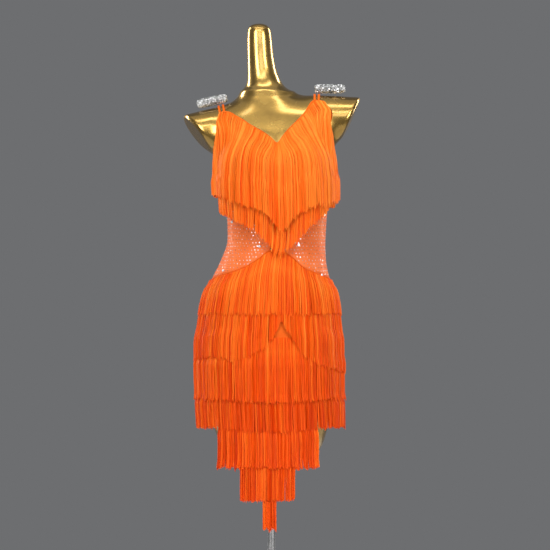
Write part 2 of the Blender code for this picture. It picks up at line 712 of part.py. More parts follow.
def build_net(material):
    """A net panel on each side of the waist, from near the front's middle to near the back's."""
    for name, middle in (("net_left", -90.0), ("net_right", 90.0)):
        angle = middle + np.arange(-NET_REACH, NET_REACH + 0.1, CLOTH_STEP)
        top = edge_height(BODICE_HEM, angle) - SEAM_RISE / 2
        hem = edge_height(SKIRT_TOP, angle) + SEAM_RISE / 2
        cloth_panel(name, (angle, top), (angle, hem), 5, material)


def build_skirt(material):
    """Front, with a long point that carries the lowest tiers, and back."""
    for name, start in (("skirt_front", -90.0), ("skirt_back", 90.0)):
        angle = np.arange(start, start + 180.1, CLOTH_STEP)
        top = edge_height(SKIRT_TOP, angle) - SEAM_RISE / 2
        hem = edge_height(SKIRT_HEM, angle)
        angle = seam_room(angle)
        cloth_panel(name, (angle, top), (angle, hem), 9, material, hangs=True)


def line_root(line, drop=0.0):
    return lambda angle: (angle, edge_height(line, angle) - drop)


def bodice_root(angle):
    top_angle, top_height = bodice_top(angle)
    return top_angle, top_height - TIER_1_ROOT_DROP


def build_fringe(material):
    """Nine tiers. Those above hang over the roots of those below."""
    tier_4_root = [(angle, height - TIER_4_ROOT_DROP) for angle, height in SKIRT_TOP]
    lowest = [TIER_7_ROOT, TIER_8_ROOT, TIER_9_ROOT]
    # For each tier: its locks, the angles it spans, its root and hem lines, the roots that it hangs
    # over, its extra rows of points and how far it stands off.
    tiers = (
        (48, AROUND, bodice_root, TIER_1_HEM, [TIER_2_ROOT], 1, TIER_1_STAND_OFF),
        (26, AROUND, line_root(TIER_2_ROOT), TIER_2_HEM, [], 1, TIER_2_STAND_OFF),
        (26, AROUND, line_root(SKIRT_TOP, TIER_3_ROOT_DROP), TIER_3_HEM, [tier_4_root], 1, 0.0),
        (28, AROUND, line_root(tier_4_root), TIER_4_HEM, [TIER_5_ROOT, TIER_6_ROOT], 1, 0.0),
        (28, AROUND, line_root(TIER_5_ROOT), TIER_5_HEM, [TIER_6_ROOT, TIER_7_ROOT], 0, 0.0),
        (28, AROUND, line_root(TIER_6_ROOT), TIER_6_HEM, lowest, 0, 0.0),
        (9, TIER_7_SPAN, line_root(TIER_7_ROOT), TIER_7_HEM, lowest[1:], 0, 0.0),
        (5, TIER_8_SPAN, line_root(TIER_8_ROOT), TIER_8_HEM, lowest[2:], 0, 0.0),
        (2, TIER_9_SPAN, line_root(TIER_9_ROOT), TIER_9_HEM, [], 1, TIER_9_STAND_OFF),
    )
    for number, tier in enumerate(tiers, start=1):
        fringe(f"fringe_tier_{number}", *tier, material)


PARTS, CUTTERS = fresh_scene()
GOLD = finish("form_gold", (0.72, 0.46, 0.10), 0.18, 1.0)
STEEL = finish("stand_steel", (0.62, 0.62, 0.63), 0.25, 1.0)
CLOTH = finish("cloth_orange", (0.93, 0.20, 0.02), 0.6)
NET = finish("net_orange", (0.88, 0.27, 0.08), 0.5, 0.0, 0.6)
THREAD = finish("fringe_orange", (0.95, 0.19, 0.015), 0.45)
STONE = finish("stone_silver", (0.80, 0.80, 0.82), 0.1, 1.0)

build_form(GOLD)
build_stand(STEEL)
build_bodice(CLOTH)
build_net(NET)
build_skirt(CLOTH)
for strap_row in STRAPS:
    build_strap(strap_row, CLOTH)
for bar_row in BARS:
    build_bar(bar_row, STONE)
build_fringe(THREAD)
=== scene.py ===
"""The looks of a fringed dance dress on a limbless torso dress form.

Points on the body are given by a height and an angle round its centre line: 0 degrees is the middle
of the front, +90 the +X side, 180 the back. The body is a smooth distance field. Cloth lies on it,
moved out a little, and each thread of the fringe hangs down over whatever is widest above it.
"""

import math

import bmesh
import bpy
import numpy as np
from mathutils import Matrix, Vector


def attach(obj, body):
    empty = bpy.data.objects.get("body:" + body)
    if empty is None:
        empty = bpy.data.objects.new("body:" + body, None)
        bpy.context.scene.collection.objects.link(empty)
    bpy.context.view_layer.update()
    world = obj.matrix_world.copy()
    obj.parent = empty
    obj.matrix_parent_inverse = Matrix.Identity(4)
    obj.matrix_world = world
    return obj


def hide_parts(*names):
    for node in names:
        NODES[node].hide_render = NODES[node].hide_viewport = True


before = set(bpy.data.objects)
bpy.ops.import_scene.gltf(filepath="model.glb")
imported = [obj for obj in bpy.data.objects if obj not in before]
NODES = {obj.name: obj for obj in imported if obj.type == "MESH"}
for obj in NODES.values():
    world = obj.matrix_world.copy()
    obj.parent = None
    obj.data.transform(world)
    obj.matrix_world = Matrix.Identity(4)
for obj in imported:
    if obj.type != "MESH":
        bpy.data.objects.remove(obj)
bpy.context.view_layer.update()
RANDOM = np.random.default_rng(7)

# Sizes of the cloth and the trims, in metres.
FORM_BOTTOM = 0.299
NECK_TOP = 1.303
CLOTH_CLEARANCE = 0.0024
BODICE_TOP_EASE = 0.0012
CLOTH_THICKNESS = 0.0011
SEAM_RISE = 0.0010
TAPE_CLEARANCE = 0.0052
THREAD_CLEARANCE = 0.0068
LAYER_PITCH = 0.0035
TAPE_HEIGHT = 0.008
TAPE_THICKNESS = 0.0008
STRAP_WIDTH = 0.005
STRAP_CLEARANCE = 0.0021
STRAP_THICKNESS = 0.0014
STRAP_TUCK = 0.010
STRAP_LIMIT = 0.2
STRAP_EDGE_POWER = 0.6
PIPING_RADIUS = 0.0010
PIPING_STEP = 1.5
TAPE_OVERLAP = 0.0004
TAPE_FLARE = 0.0002
TAPE_TONE = 0.4
CREASES_ROUND = 34
CREASE_LEAN = 3

# Sections of the trunk.
TORSO = (
    ("height", "centre_x", "half_width", "centre_y", "half_depth"),
    (0.299, 0.0, 0.062, 0.004, 0.052), (0.303, 0.0, 0.086, 0.004, 0.07),
    (0.315, 0.0, 0.105, 0.005, 0.085), (0.335, 0.0, 0.117, 0.006, 0.094),
    (0.364, -0.001, 0.128, 0.008, 0.101), (0.437, -0.004, 0.15, 0.01, 0.112),
    (0.505, -0.0055, 0.1595, 0.012, 0.117), (0.552, -0.006, 0.1605, 0.012, 0.118),
    (0.61, -0.005, 0.1565, 0.01, 0.115), (0.667, -0.003, 0.147, 0.006, 0.109),
    (0.7176, -0.001, 0.131, 0.002, 0.099), (0.759, 0.0046, 0.117, 0.0, 0.09),
    (0.805, 0.0115, 0.109, 0.0, 0.085), (0.8625, 0.0125, 0.1115, 0.0, 0.087),
    (0.897, 0.0115, 0.118, 0.0, 0.092), (0.943, 0.0105, 0.127, 0.001, 0.098),
    (0.989, 0.0104, 0.1315, 0.003, 0.099), (1.02, 0.009, 0.129, 0.006, 0.095),
    (1.058, 0.007, 0.12, 0.01, 0.085), (1.09, 0.004, 0.102, 0.013, 0.072),
    (1.115, -0.002, 0.078, 0.015, 0.056), (1.135, -0.01, 0.05, 0.016, 0.04),
)
TRUNK_SQUARENESS = 2.25
SHOULDERS = (
    ("x", "axis_height", "half_height", "half_depth"),
    (-0.26, 1.026, 0.046, 0.044), (-0.2, 1.045, 0.048, 0.046), (-0.107, 1.063, 0.051, 0.052),
    (0.0, 1.08, 0.053, 0.056), (0.107, 1.086, 0.052, 0.052), (0.2, 1.086, 0.048, 0.046),
    (0.26, 1.084, 0.046, 0.044),
)
SHOULDER_CENTRE_Y = 0.012
SHOULDER_REACH = 0.245
NECK = (
    ("height", "centre_x", "radius"),
    (1.09, -0.013, 0.062), (1.125, -0.014, 0.06), (1.148, -0.015, 0.052), (1.158, -0.0155, 0.0455),
    (1.175, -0.018, 0.038), (1.2, -0.0225, 0.033), (1.235, -0.026, 0.03), (1.27, -0.0277, 0.0285),
    (1.29, -0.0285, 0.026), (1.299, -0.029, 0.019), (1.303, -0.029, 0.009),
)
NECK_CENTRE_Y = 0.014
BUST_CENTRE_X = 0.0104
BUST_SPREAD = 0.052
BUST_HEIGHT = 0.962
BUST_DEPTH = -0.060
BUST_RADIUS = 0.066
BUST_BLEND = 0.035
SHOULDER_BLEND = 0.045
NECK_BLEND = 0.022
RIM_BLEND = 0.010
ARMPIT_DROP = 0.006

# The faces that close the arms: a point at the top of each rim, one at its bottom, and how far the
# face turns to the front.
ARM_FACES = (
    ("side", "top_x", "top_height", "bottom_x", "bottom_height", "turn_to_front"),
    (-1, -0.2013, 1.087, -0.1405, 1.0035, 0.22),
    (1, 0.2084, 1.136, 0.1580, 1.0280, 0.05),
)

# Edges of the cloth: an angle round the body and a height.
BODICE_TOP_FRONT = (
    ("hem_angle", "x", "height"),
    (-90.0, -0.13, 0.965), (-82.5, -0.127, 0.99), (-75.0, -0.1235, 1.028), (-67.5, -0.116, 1.066),
    (-60.0, -0.1095, 1.0995), (-52.5, -0.096, 1.0985), (-45.0, -0.079, 1.089), (-37.5, -0.064, 1.08),
    (-30.0, -0.05, 1.07), (-22.5, -0.035, 1.061), (-15.0, -0.021, 1.053), (-7.5, -0.003, 1.04),
    (0.0, 0.0125, 1.026), (7.5, 0.024, 1.04), (15.0, 0.033, 1.052), (22.5, 0.044, 1.064),
    (30.0, 0.056, 1.076), (37.5, 0.067, 1.088), (45.0, 0.077, 1.101), (52.5, 0.093, 1.126),
    (60.0, 0.108, 1.124), (67.5, 0.121, 1.088), (75.0, 0.133, 1.044), (82.5, 0.139, 1.002),
    (90.0, 0.14, 0.972),
)
BODICE_TOP_BACK = (
    ("hem_angle", "x", "height"),
    (90.0, 0.14, 0.972), (112.5, 0.129, 1.018), (127.5, 0.11, 1.07), (135.0, 0.097, 1.07),
    (150.0, 0.065, 1.01), (180.0, 0.01, 0.978), (210.0, -0.046, 1.0), (225.0, -0.096, 1.058),
    (232.5, -0.108, 1.058), (247.5, -0.122, 1.008), (270.0, -0.13, 0.965),
)
BODICE_HEM = (
    (-180.0, 0.7835), (-172.5, 0.788), (-166.0, 0.812), (-160.0, 0.826), (-146.0, 0.8465),
    (-119.0, 0.872), (-90.0, 0.89), (-61.0, 0.872), (-34.0, 0.8465), (-20.0, 0.826), (-14.0, 0.812),
    (-7.5, 0.788), (0.0, 0.7835), (7.5, 0.788), (14.0, 0.812), (20.0, 0.826), (34.0, 0.8465),
    (61.0, 0.872), (90.0, 0.892), (119.0, 0.872), (146.0, 0.8465), (160.0, 0.826), (166.0, 0.812),
    (172.5, 0.788), (180.0, 0.7835),
)
SKIRT_TOP = (
    (-180.0, 0.7825), (-158.0, 0.7635), (-137.0, 0.737), (-106.0, 0.72), (-90.0, 0.7155), (-74.0, 0.72),
    (-43.0, 0.737), (-22.0, 0.76), (-8.0, 0.7805), (0.0, 0.7825), (8.0, 0.78), (22.0, 0.769),
    (43.0, 0.739), (74.0, 0.72), (90.0, 0.7155), (106.0, 0.72), (137.0, 0.737), (158.0, 0.7635),
    (180.0, 0.7825),
)
SKIRT_HEM = (
    (-180.0, 0.409), (-52.0, 0.409), (-34.0, 0.343), (-12.0, 0.276), (10.0, 0.276), (31.0, 0.343),
    (49.0, 0.409), (180.0, 0.409),
)

# Straps: where each leaves the bodice, lies on the shoulder and joins the back.
STRAPS = (
    ("name", "front_x", "front_height", "shoulder_x", "back_x", "back_height"),
    ("strap_left_outer", -0.1080, 1.1010, -0.1220, -0.1085, 1.0595),
    ("strap_left_inner", -0.0990, 1.1010, -0.1120, -0.0985, 1.0595),
    ("strap_right_inner", 0.0960, 1.1275, 0.0995, 0.0985, 1.0715),
    ("strap_right_outer", 0.1050, 1.1275, 0.1090, 0.1075, 1.0715),
)
BARS = (
    ("name", "x", "height", "tilt"),
    ("shoulder_bar_left", -0.137, 1.1248, 12.3),
    ("shoulder_bar_right", 0.1346, 1.1531, 0.0),
)
BAR_HALF_LENGTH = 0.036
BAR_HALF_DEPTH = 0.015
BAR_HALF_HEIGHT = 0.011
BAR_TAPER_POWER = 0.30
BAR_END_POWER = 0.55
BAR_EDGE_POWER = 0.62

# Stones: radii in metres, or as a share of the bar's own stone radius. The large ones are given by
# their places in the photograph.
BAR_STONE_RADIUS = 0.0021
BAR_STONE_INSET = 0.0014
BAR_STONE_SIZES = (0.82, 1.08)
BAR_STONE_SPACING = 1.82
BAR_STONE_TILT = 0.10
BAR_STONE_TRIES = 9000
NET_STONE_PITCH = 0.0092
NET_STONE_ROW_SHARE = 0.87
NET_STONE_HEIGHTS = (0.718, 0.892)
NET_STONE_RADII = (0.0010, 0.0013)
NET_STONE_ANGLE_SPREAD = 0.25
NET_STONE_HEIGHT_SPREAD = 0.0006
WAIST_RADIUS = 0.115
LARGE_STONE_RADIUS = 0.0034
LARGE_STONE_PIXELS = (
    (233.0, 222.0), (260.0, 246.5), (224.0, 270.5), (298.0, 245.0), (323.5, 215.0), (321.0, 275.0),
)

# Fringe tiers, from the top down. Each has a root line and a hem line. A level one is its height.
TIER_1_STAND_OFF = 0.0004
TIER_2_STAND_OFF = -0.0004
TIER_9_STAND_OFF = -0.0009
TIER_1_ROOT_DROP = 0.0006
TIER_3_ROOT_DROP = 0.0035
TIER_4_ROOT_DROP = 0.030
TIER_2_ROOT = (
    (-180.0, 0.938), (-90.0, 0.934), (-60.0, 0.94), (-26.0, 0.938), (0.0, 0.915), (5.0, 0.912),
    (26.0, 0.938), (60.0, 0.944), (90.0, 0.94), (180.0, 0.938),
)
TIER_5_ROOT = 0.582
TIER_6_ROOT = 0.5175
TIER_7_ROOT = 0.4325
TIER_8_ROOT = 0.3565
TIER_9_ROOT = 0.2875
TIER_1_HEM = (
    (-180.0, 0.897), (-110.0, 0.905), (-90.0, 0.913), (-60.0, 0.904), (-35.0, 0.888), (-13.0, 0.869),
    (5.0, 0.828), (23.0, 0.869), (45.0, 0.886), (90.0, 0.897), (180.0, 0.897),
)
TIER_2_HEM = (
    (-180.0, 0.862), (-90.0, 0.872), (-50.0, 0.86), (-44.0, 0.853), (-26.0, 0.833), (-16.0, 0.812),
    (-6.0, 0.789), (5.0, 0.7705), (18.0, 0.796), (26.0, 0.819), (35.0, 0.844), (47.0, 0.8625),
    (59.0, 0.882), (90.0, 0.883), (180.0, 0.862),
)
TIER_3_HEM = 0.636
TIER_4_HEM = (
    (-180.0, 0.522), (-90.0, 0.53), (-47.8, 0.5375), (-34.2, 0.529), (-23.7, 0.535), (-10.1, 0.55),
    (3.0, 0.577), (8.2, 0.599), (12.5, 0.6205), (16.5, 0.604), (21.6, 0.584), (30.5, 0.552),
    (40.0, 0.531), (57.0, 0.514), (77.0, 0.504), (90.0, 0.504), (180.0, 0.522),
)
TIER_5_HEM = (
    (-180.0, 0.44), (-80.0, 0.443), (6.0, 0.434), (80.0, 0.443), (180.0, 0.44),
)
TIER_6_HEM = (
    (-180.0, 0.375), (-80.0, 0.378), (0.0, 0.367), (80.0, 0.377), (180.0, 0.375),
)
TIER_7_HEM = 0.286
TIER_8_HEM = 0.212
TIER_9_HEM = 0.146
AROUND = (-90.0, 270.0)
TIER_7_SPAN = (-52.0, 46.0)
TIER_8_SPAN = (-31.0, 23.5)
TIER_9_SPAN = (-9.3, 5.0)

HIP_HEIGHT = 0.552
BEND_START = 0.018
BEND_END = 0.003
NET_REACH = 82.5
RAY_LIMIT = 0.32
DEPTH_LIMIT = 0.3
RAY_STEPS = 24
HANG_STEPS = 41
TINY = 1e-6

# The skin of the form.
FORM_SIDES = 180
NECK_TURN_START = 1.02
NECK_TURN_LENGTH = 0.10
SKIN_VOXEL = 0.0036
NORMAL_STEP = 0.001
SETTLE_STEP = 0.0008
SETTLE_ROUNDS = 6
LEAST_STEEPNESS = 0.25
LONGEST_MOVE = 0.004

# Threads.
THREAD_PITCH = 0.0015
THREAD_RADIUS = 0.00078
THREAD_LAYERS = (0.0, 0.0009, 0.0017)
UNBACKED_LAYERS = (-0.0012, -0.0006, 0.0, 0.0006, 0.0012, 0.0018)
THREAD_TAPER = 0.85
THREAD_SHIFT = 0.15
THREAD_WANDER = 0.0006
THREAD_WANDER_TURNS = 5.0
THREAD_LENGTH_SPREAD = 0.0021
THREAD_DEPTH_SPREAD = 0.0002
THREAD_TONE_SPREAD = 0.12
LONG_THREAD_SHARE = 0.06
LONG_THREAD_EXTRA = 0.005
# Painted shade: each layer of threads nearer the body is darker.
LAYER_PAINTED_SHADE = 0.02
CLUMP_WIDTH = 0.0062
CLUMP_SHIFT = 0.3
CLUMP_DEPTH = 0.0006
CLUMP_LENGTH_SPREAD = 0.0015
CLUMP_SWAY = 0.0008
CLUMP_DRAW = 0.10
CLUMP_ROUNDING = 0.0004
CLUMP_TONE_SPREAD = 0.075
# Painted shade: threads at the edges of a clump are darker.
CLUMP_EDGE_PAINTED_SHADE = 0.04
HEM_PRESS = 0.6
TIER_RADIUS = 0.140
COLUMN_STEP = 2.5
# Painted shade: the tone of the threads rises with height, so the lower tiers are painted darker.
TONE_AT_MIDDLE = 0.24
TONE_HEIGHT = 0.47
PAINTED_SHADE_RISE = 0.60
# Painted highlight: a lighter band of tone where each thread bends over below its root.
BEND_SHINE = 0.10
BEND_SHINE_DROP = 0.032
BEND_SHINE_REACH = 0.016
TULIP_LIFT = 0.005
TULIP_LIFT_ANGLE = 21.0
TULIP_LIFT_REACH = 12.0
FAN_DROP = 0.045
FAN_SHIFT = 8.0
FAN_ANGLES = (0.0, 14.0, 48.0, 62.0)

# The photograph's scale: metres for one pixel, the pixel column at x = 0 and the row at the floor.
PIXEL = 0.0023
PHOTO_MIDDLE = 271.5
PHOTO_FLOOR = 590.0
PHOTO_SIZE = 550.0
CAMERA_DISTANCE = 12.0
SENSOR_WIDTH = 36.0

# The studio. Each light has a name, a place, a size, its watts and the point that it faces.
FLOOR_RADIUS = 1.5
SURROUND_GREY = (0.153, 0.156, 0.162, 1.0)
PART_MIDDLE = (0.0, 0.0, 0.75)
LIGHTS = (
    ("ceiling", (0.0, -1.6, 3.1), (4.0, 4.6), 20.0, (0.0, -1.59, 0.0)),
    ("strip_near", (0.0, -3.2, 2.9), (3.0, 0.45), 22.0, (0.0, 0.0, 1.0)),
    ("strip_far", (0.0, -0.9, 2.9), (2.4, 0.40), 14.0, (0.0, 0.0, 1.0)),
    ("key", (-2.4, -3.6, 1.7), (1.4, 2.4), 99.0, PART_MIDDLE),
    ("fill", (2.6, -3.4, 1.5), (1.2, 2.4), 90.0, PART_MIDDLE),
    ("front", (0.2, -4.8, 2.3), (2.6, 1.0), 24.0, PART_MIDDLE),
    ("rim_left", (-2.4, 1.6, 1.6), (0.6, 2.4), 60.0, PART_MIDDLE),
    ("rim_right", (2.4, 1.8, 1.6), (0.6, 2.4), 60.0, PART_MIDDLE),
)


def smooth_curve(keys, values, at):
    """A curve through the values that doesn't overshoot them (monotone cubic)."""
    keys, values = np.asarray(keys, float), np.asarray(values, float)
    gaps = np.diff(keys)
    slopes = np.diff(values) / gaps
    tangents = np.zeros_like(values)
    tangents[0], tangents[-1] = slopes[0], slopes[-1]
    same_way = slopes[:-1] * slopes[1:] > 0
    total = np.where(same_way, slopes[:-1] + slopes[1:], 1.0)
    tangents[1:-1] = np.where(same_way, 2 * slopes[:-1] * slopes[1:] / total, 0.0)
    at = np.clip(at, keys[0], keys[-1])
    cell = np.clip(np.searchsorted(keys, at) - 1, 0, len(gaps) - 1)
    t = (at - keys[cell]) / gaps[cell]
    rise = gaps[cell]
    return (
        (2 * t**3 - 3 * t**2 + 1) * values[cell]
        + (t**3 - 2 * t**2 + t) * rise * tangents[cell]
        + (3 * t**2 - 2 * t**3) * values[cell + 1]
        + (t**3 - t**2) * rise * tangents[cell + 1]
    )


def column_of(table, name, at):
    """A column of a table as a smooth curve over its first column."""
    rows, column = table[1:], table[0].index(name)
    return smooth_curve([row[0] for row in rows], [row[column] for row in rows], at)


def rows_of(table):
    return [dict(zip(table[0], row)) for row in table[1:]]


def edge_height(edge, angle):
    """The height of an edge or hem, at angles in degrees that may pass 180."""
    turned = (np.asarray(angle, float) + 180.0) % 360.0 - 180.0
    if isinstance(edge, float):
        return edge + 0 * turned
    return smooth_curve([row[0] for row in edge], [row[1] for row in edge], turned)


def blend(a, b, width):
    """The union of two distance fields, with a fillet of about this width."""
    share = np.clip(0.5 + 0.5 * (b - a) / width, 0, 1)
    return b + (a - b) * share - width * share * (1 - share)


def unit(vectors):
    return vectors / np.linalg.norm(vectors, axis=-1, keepdims=True)


def ease(value):
    value = np.clip(value, 0, 1)
    return value * value * (3 - 2 * value)


def body_centre(z):
    centre_x = column_of(TORSO, "centre_x", z)
    return centre_x, column_of(TORSO, "centre_y", z)


def trunk_distance(x, y, z):
    centre_x, centre_y = body_centre(z)
    half_width = column_of(TORSO, "half_width", z)
    half_depth = column_of(TORSO, "half_depth", z)
    across, along = np.abs(x - centre_x), np.abs(y - centre_y)
    power = TRUNK_SQUARENESS
    scale = ((across / half_width) ** power + (along / half_depth) ** power) ** (1 / power)
    distance = np.hypot(across, along) * (1 - 1 / np.maximum(scale, TINY))
    distance = np.where(scale < TINY, -half_depth, distance)
    return np.maximum(distance, np.maximum(z - TORSO[-1][0], FORM_BOTTOM - z))


def shoulder_distance(x, y, z):
    rise = z - column_of(SHOULDERS, "axis_height", x)
    depth = y - SHOULDER_CENTRE_Y
    half_height = column_of(SHOULDERS, "half_height", x)
    half_depth = column_of(SHOULDERS, "half_depth", x)
    scale = np.hypot(rise / half_height, depth / half_depth)
    distance = np.hypot(rise, depth) * (1 - 1 / np.maximum(scale, TINY))
    distance = np.where(scale < TINY, -half_height, distance)
    return np.maximum(distance, np.abs(x) - SHOULDER_REACH)


def neck_distance(x, y, z):
    centre_x = column_of(NECK, "centre_x", z)
    radius = column_of(NECK, "radius", z)
    distance = np.hypot(x - centre_x, y - NECK_CENTRE_Y) - radius
    return np.maximum(distance, np.maximum(NECK[1][0] - z, z - NECK_TOP))


def bust_distance(x, y, z):
    side = np.abs(x - BUST_CENTRE_X) - BUST_SPREAD
    return np.sqrt(side**2 + (y - BUST_DEPTH) ** 2 + (z - BUST_HEIGHT) ** 2) - BUST_RADIUS


def body_distance(x, y, z):
    """How far a point lies outside the body, in metres, less than zero inside it."""
    trunk = blend(trunk_distance(x, y, z), bust_distance(x, y, z), BUST_BLEND)
    shoulders = blend(trunk, shoulder_distance(x, y, z), SHOULDER_BLEND)
    return blend(shoulders, neck_distance(x, y, z), NECK_BLEND)


def form_distance(x, y, z):
    """The body with its arms closed off by flat faces that have a rounded rim."""
    distance = body_distance(x, y, z)
    for face in rows_of(ARM_FACES):
        along = Vector((face["top_x"] - face["bottom_x"], 0, face["top_height"] - face["bottom_height"]))
        along.normalize()
        outward = Vector((face["side"] * along.z, -face["turn_to_front"], -face["side"] * along.x))
        outward.normalize()
        across, rise = x - face["bottom_x"], z - face["bottom_height"]
        past_face = across * outward.x + (y - SHOULDER_CENTRE_Y) * outward.y + rise * outward.z
        past_foot = across * along.x + rise * along.z + ARMPIT_DROP
        distance = -blend(-distance, -np.minimum(past_face, past_foot), RIM_BLEND)
    return distance


def leaves_at(is_outside, near, far):
    """Where each line from near to far leaves the body, found by halving the way again and again."""
    for _ in range(RAY_STEPS):
        middle = (near + far) / 2
        outside = is_outside(middle)
        far = np.where(outside, middle, far)
        near = np.where(outside, near, middle)
    return (near + far) / 2


def ray_radius(angle, z, clearance, centre=None, field=body_distance):
    """How far from the centre line the surface lies, moved out by the clearance."""
    centre_x, centre_y = body_centre(z) if centre is None else centre
    side, front = np.sin(np.radians(angle)), -np.cos(np.radians(angle))
    return leaves_at(
        lambda reach: field(centre_x + reach * side, centre_y + reach * front, z) > clearance,
        np.zeros(np.shape(angle)), np.full(np.shape(angle), RAY_LIMIT),
    )


def place(angle, radius, z, centre=None):
    """Points in the world from angles, radii and heights round the body's centre line."""
    centre_x, centre_y = body_centre(z) if centre is None else centre
    turn = np.radians(angle)
    return np.stack([centre_x + radius * np.sin(turn), centre_y - radius * np.cos(turn), z], axis=-1)


def outward_at(angle):
    turn = np.radians(angle)
    return np.stack([np.sin(turn), -np.cos(turn), 0 * turn], axis=-1)


def field_slope(field, points, step):
    """How much a distance field grows over two steps along each axis."""
    x, y, z = points[..., 0], points[..., 1], points[..., 2]
    return np.stack([
        field(x + step, y, z) - field(x - step, y, z),
        field(x, y + step, z) - field(x, y - step, z),
        field(x, y, z + step) - field(x, y, z - step),
    ], axis=-1)


def field_normal(points):
    """The direction away from the body at each point."""
    return unit(field_slope(body_distance, points, NORMAL_STEP))


def angle_at(x, z, behind, clearance):
    """The angle of the surface point with this x and height, on the front or on the back."""
    centre_x, centre_y = body_centre(z)
    far = centre_y + (DEPTH_LIMIT if behind else -DEPTH_LIMIT) + 0 * x
    y = leaves_at(lambda middle: body_distance(x, middle, z) > clearance, centre_y + 0 * x, far)
    return np.degrees(np.arctan2(x - centre_x, centre_y - y))


def bodice_top(hem_angle):
    """The angle and height of the bodice's top edge, for each angle at its hem."""
    turned = (np.asarray(hem_angle, float) + 90.0) % 360.0 - 90.0
    edges = {}
    for name, table in (("front", BODICE_TOP_FRONT), ("back", BODICE_TOP_BACK)):
        x = column_of(table, "x", turned)
        z = column_of(table, "height", turned)
        angle = angle_at(x, z, name == "back", CLOTH_CLEARANCE) % 360.0
        edges[name] = (angle if name == "back" else (angle + 180.0) % 360.0 - 180.0, z)
    behind = turned > 90.0
    angle = np.where(behind, edges["back"][0], edges["front"][0])
    height = np.where(behind, edges["back"][1], edges["front"][1])
    return np.where(np.isclose(turned % 180.0, 90.0), turned, angle), height


class Finish:
    """A material, with short calls for the nodes that it is made of."""

    def __init__(self, name, roughness, metallic=0.0, specular=0.5):
        self.material = bpy.data.materials.new(name)
        self.material.use_nodes = True
        self.tree = self.material.node_tree
        self.shader = self.tree.nodes["Principled BSDF"]
        self.set(Roughness=roughness, Metallic=metallic)
        self.shader.inputs["Specular IOR Level"].default_value = specular

    def set(self, **values):
        for name, value in values.items():
            self.shader.inputs[name.replace("_", " ")].default_value = value

    def node(self, kind, links=(), **values):
        """A node with these input values, and links from the sockets given by input name."""
        node = self.tree.nodes.new(kind)
        for name, value in values.items():
            node.inputs[name.replace("_", " ")].default_value = value
        for name, socket in dict(links).items():
            self.tree.links.new(socket, node.inputs[name])
        return node

    def stretched(self, stretch):
        """Object coordinates, multiplied along each axis."""
        where = self.tree.nodes.new("ShaderNodeTexCoord").outputs["Object"]
        mapping = self.node("ShaderNodeMapping", {"Vector": where})
        mapping.inputs["Scale"].default_value = stretch
        return mapping.outputs["Vector"]

    def noise(self, scale, stretch=(1, 1, 1), detail=3.0):
        links = {"Vector": self.stretched(stretch)}
        return self.node("ShaderNodeTexNoise", links, Scale=scale, Detail=detail).outputs["Fac"]

    def wave(self, scale, direction="Z", stretch=(1, 1, 1)):
        node = self.node("ShaderNodeTexWave", {"Vector": self.stretched(stretch)}, Scale=scale)
        node.bands_direction = direction
        return node.outputs["Fac"]

    def attribute(self, name):
        node = self.tree.nodes.new("ShaderNodeAttribute")
        node.attribute_name = name
        return node.outputs["Fac"]

    def math(self, operation, first, second):
        node = self.tree.nodes.new("ShaderNodeMath")
        node.operation = operation
        for socket, value in zip(node.inputs, (first, second)):
            if isinstance(value, (int, float)):
                socket.default_value = value
            else:
                self.tree.links.new(value, socket)
        return node.outputs["Value"]

    def ramp(self, name, factor, *stops):
        """Drives an input with colours or grey levels along a factor, as (place, value) pairs."""
        node = self.tree.nodes.new("ShaderNodeValToRGB")
        points = node.color_ramp.elements
        while len(points) < len(stops):
            points.new(0.5)
        for point, (at, value) in zip(points, stops):
            point.position = at
            point.color = (*value, 1.0) if isinstance(value, tuple) else (value, value, value, 1.0)
        self.tree.links.new(factor, node.inputs["Fac"])
        self.drive(name, node.outputs["Color"])

    def drive(self, name, socket):
        self.tree.links.new(socket, self.shader.inputs[name])

    def bump(self, height, distance, strength=1.0):
        links = {"Height": height}
        node = self.node("ShaderNodeBump", links, Distance=distance, Strength=strength)
        self.drive("Normal", node.outputs["Normal"])


def gold_finish():
    """Polished gold plating over a moulded shell, with the faint waves that such plating has."""
    gold = Finish("form_gold", 0.25, 1.0)
    tone = gold.noise(3.0, detail=2.0)
    gold.ramp("Base Color", tone, (0.3, (0.45, 0.262, 0.052)), (0.7, (0.54, 0.338, 0.087)))
    gold.ramp("Roughness", gold.noise(24.0, detail=5.0), (0.3, 0.22), (0.75, 0.31))
    gold.bump(gold.noise(9.0, detail=1.0), 0.0012, 0.25)
    gold.set(Coat_Weight=0.5, Coat_Roughness=0.09)
    return gold.material


def steel_finish():
    """Brushed steel: fine rings round the pole and the plate."""
    steel = Finish("stand_steel", 0.3, 1.0)
    grain = steel.noise(700.0, stretch=(1.0, 1.0, 0.04), detail=4.0)
    steel.ramp("Base Color", steel.noise(12.0), (0.3, 0.30), (0.7, 0.40))
    steel.ramp("Roughness", grain, (0.3, 0.24), (0.7, 0.40))
    steel.bump(grain, 0.0002, 0.3)
    return steel.material


def cloth_finish():
    """Stretch knit: fine ribs and courses, with slow changes of tone."""
    cloth = Finish("cloth_orange", 0.62, specular=0.12)
    ribs = cloth.wave(260.0, "Z")
    courses = cloth.wave(210.0, "X")
    knit = cloth.math("MULTIPLY", ribs, courses)
    tone = cloth.math("ADD", cloth.math("MULTIPLY", knit, 0.35), cloth.noise(14.0))
    cloth.ramp("Base Color", tone, (0.3, (0.70, 0.085, 0.004)), (0.95, (0.95, 0.19, 0.012)))
    cloth.bump(knit, 0.0003, 0.5)
    return cloth.material


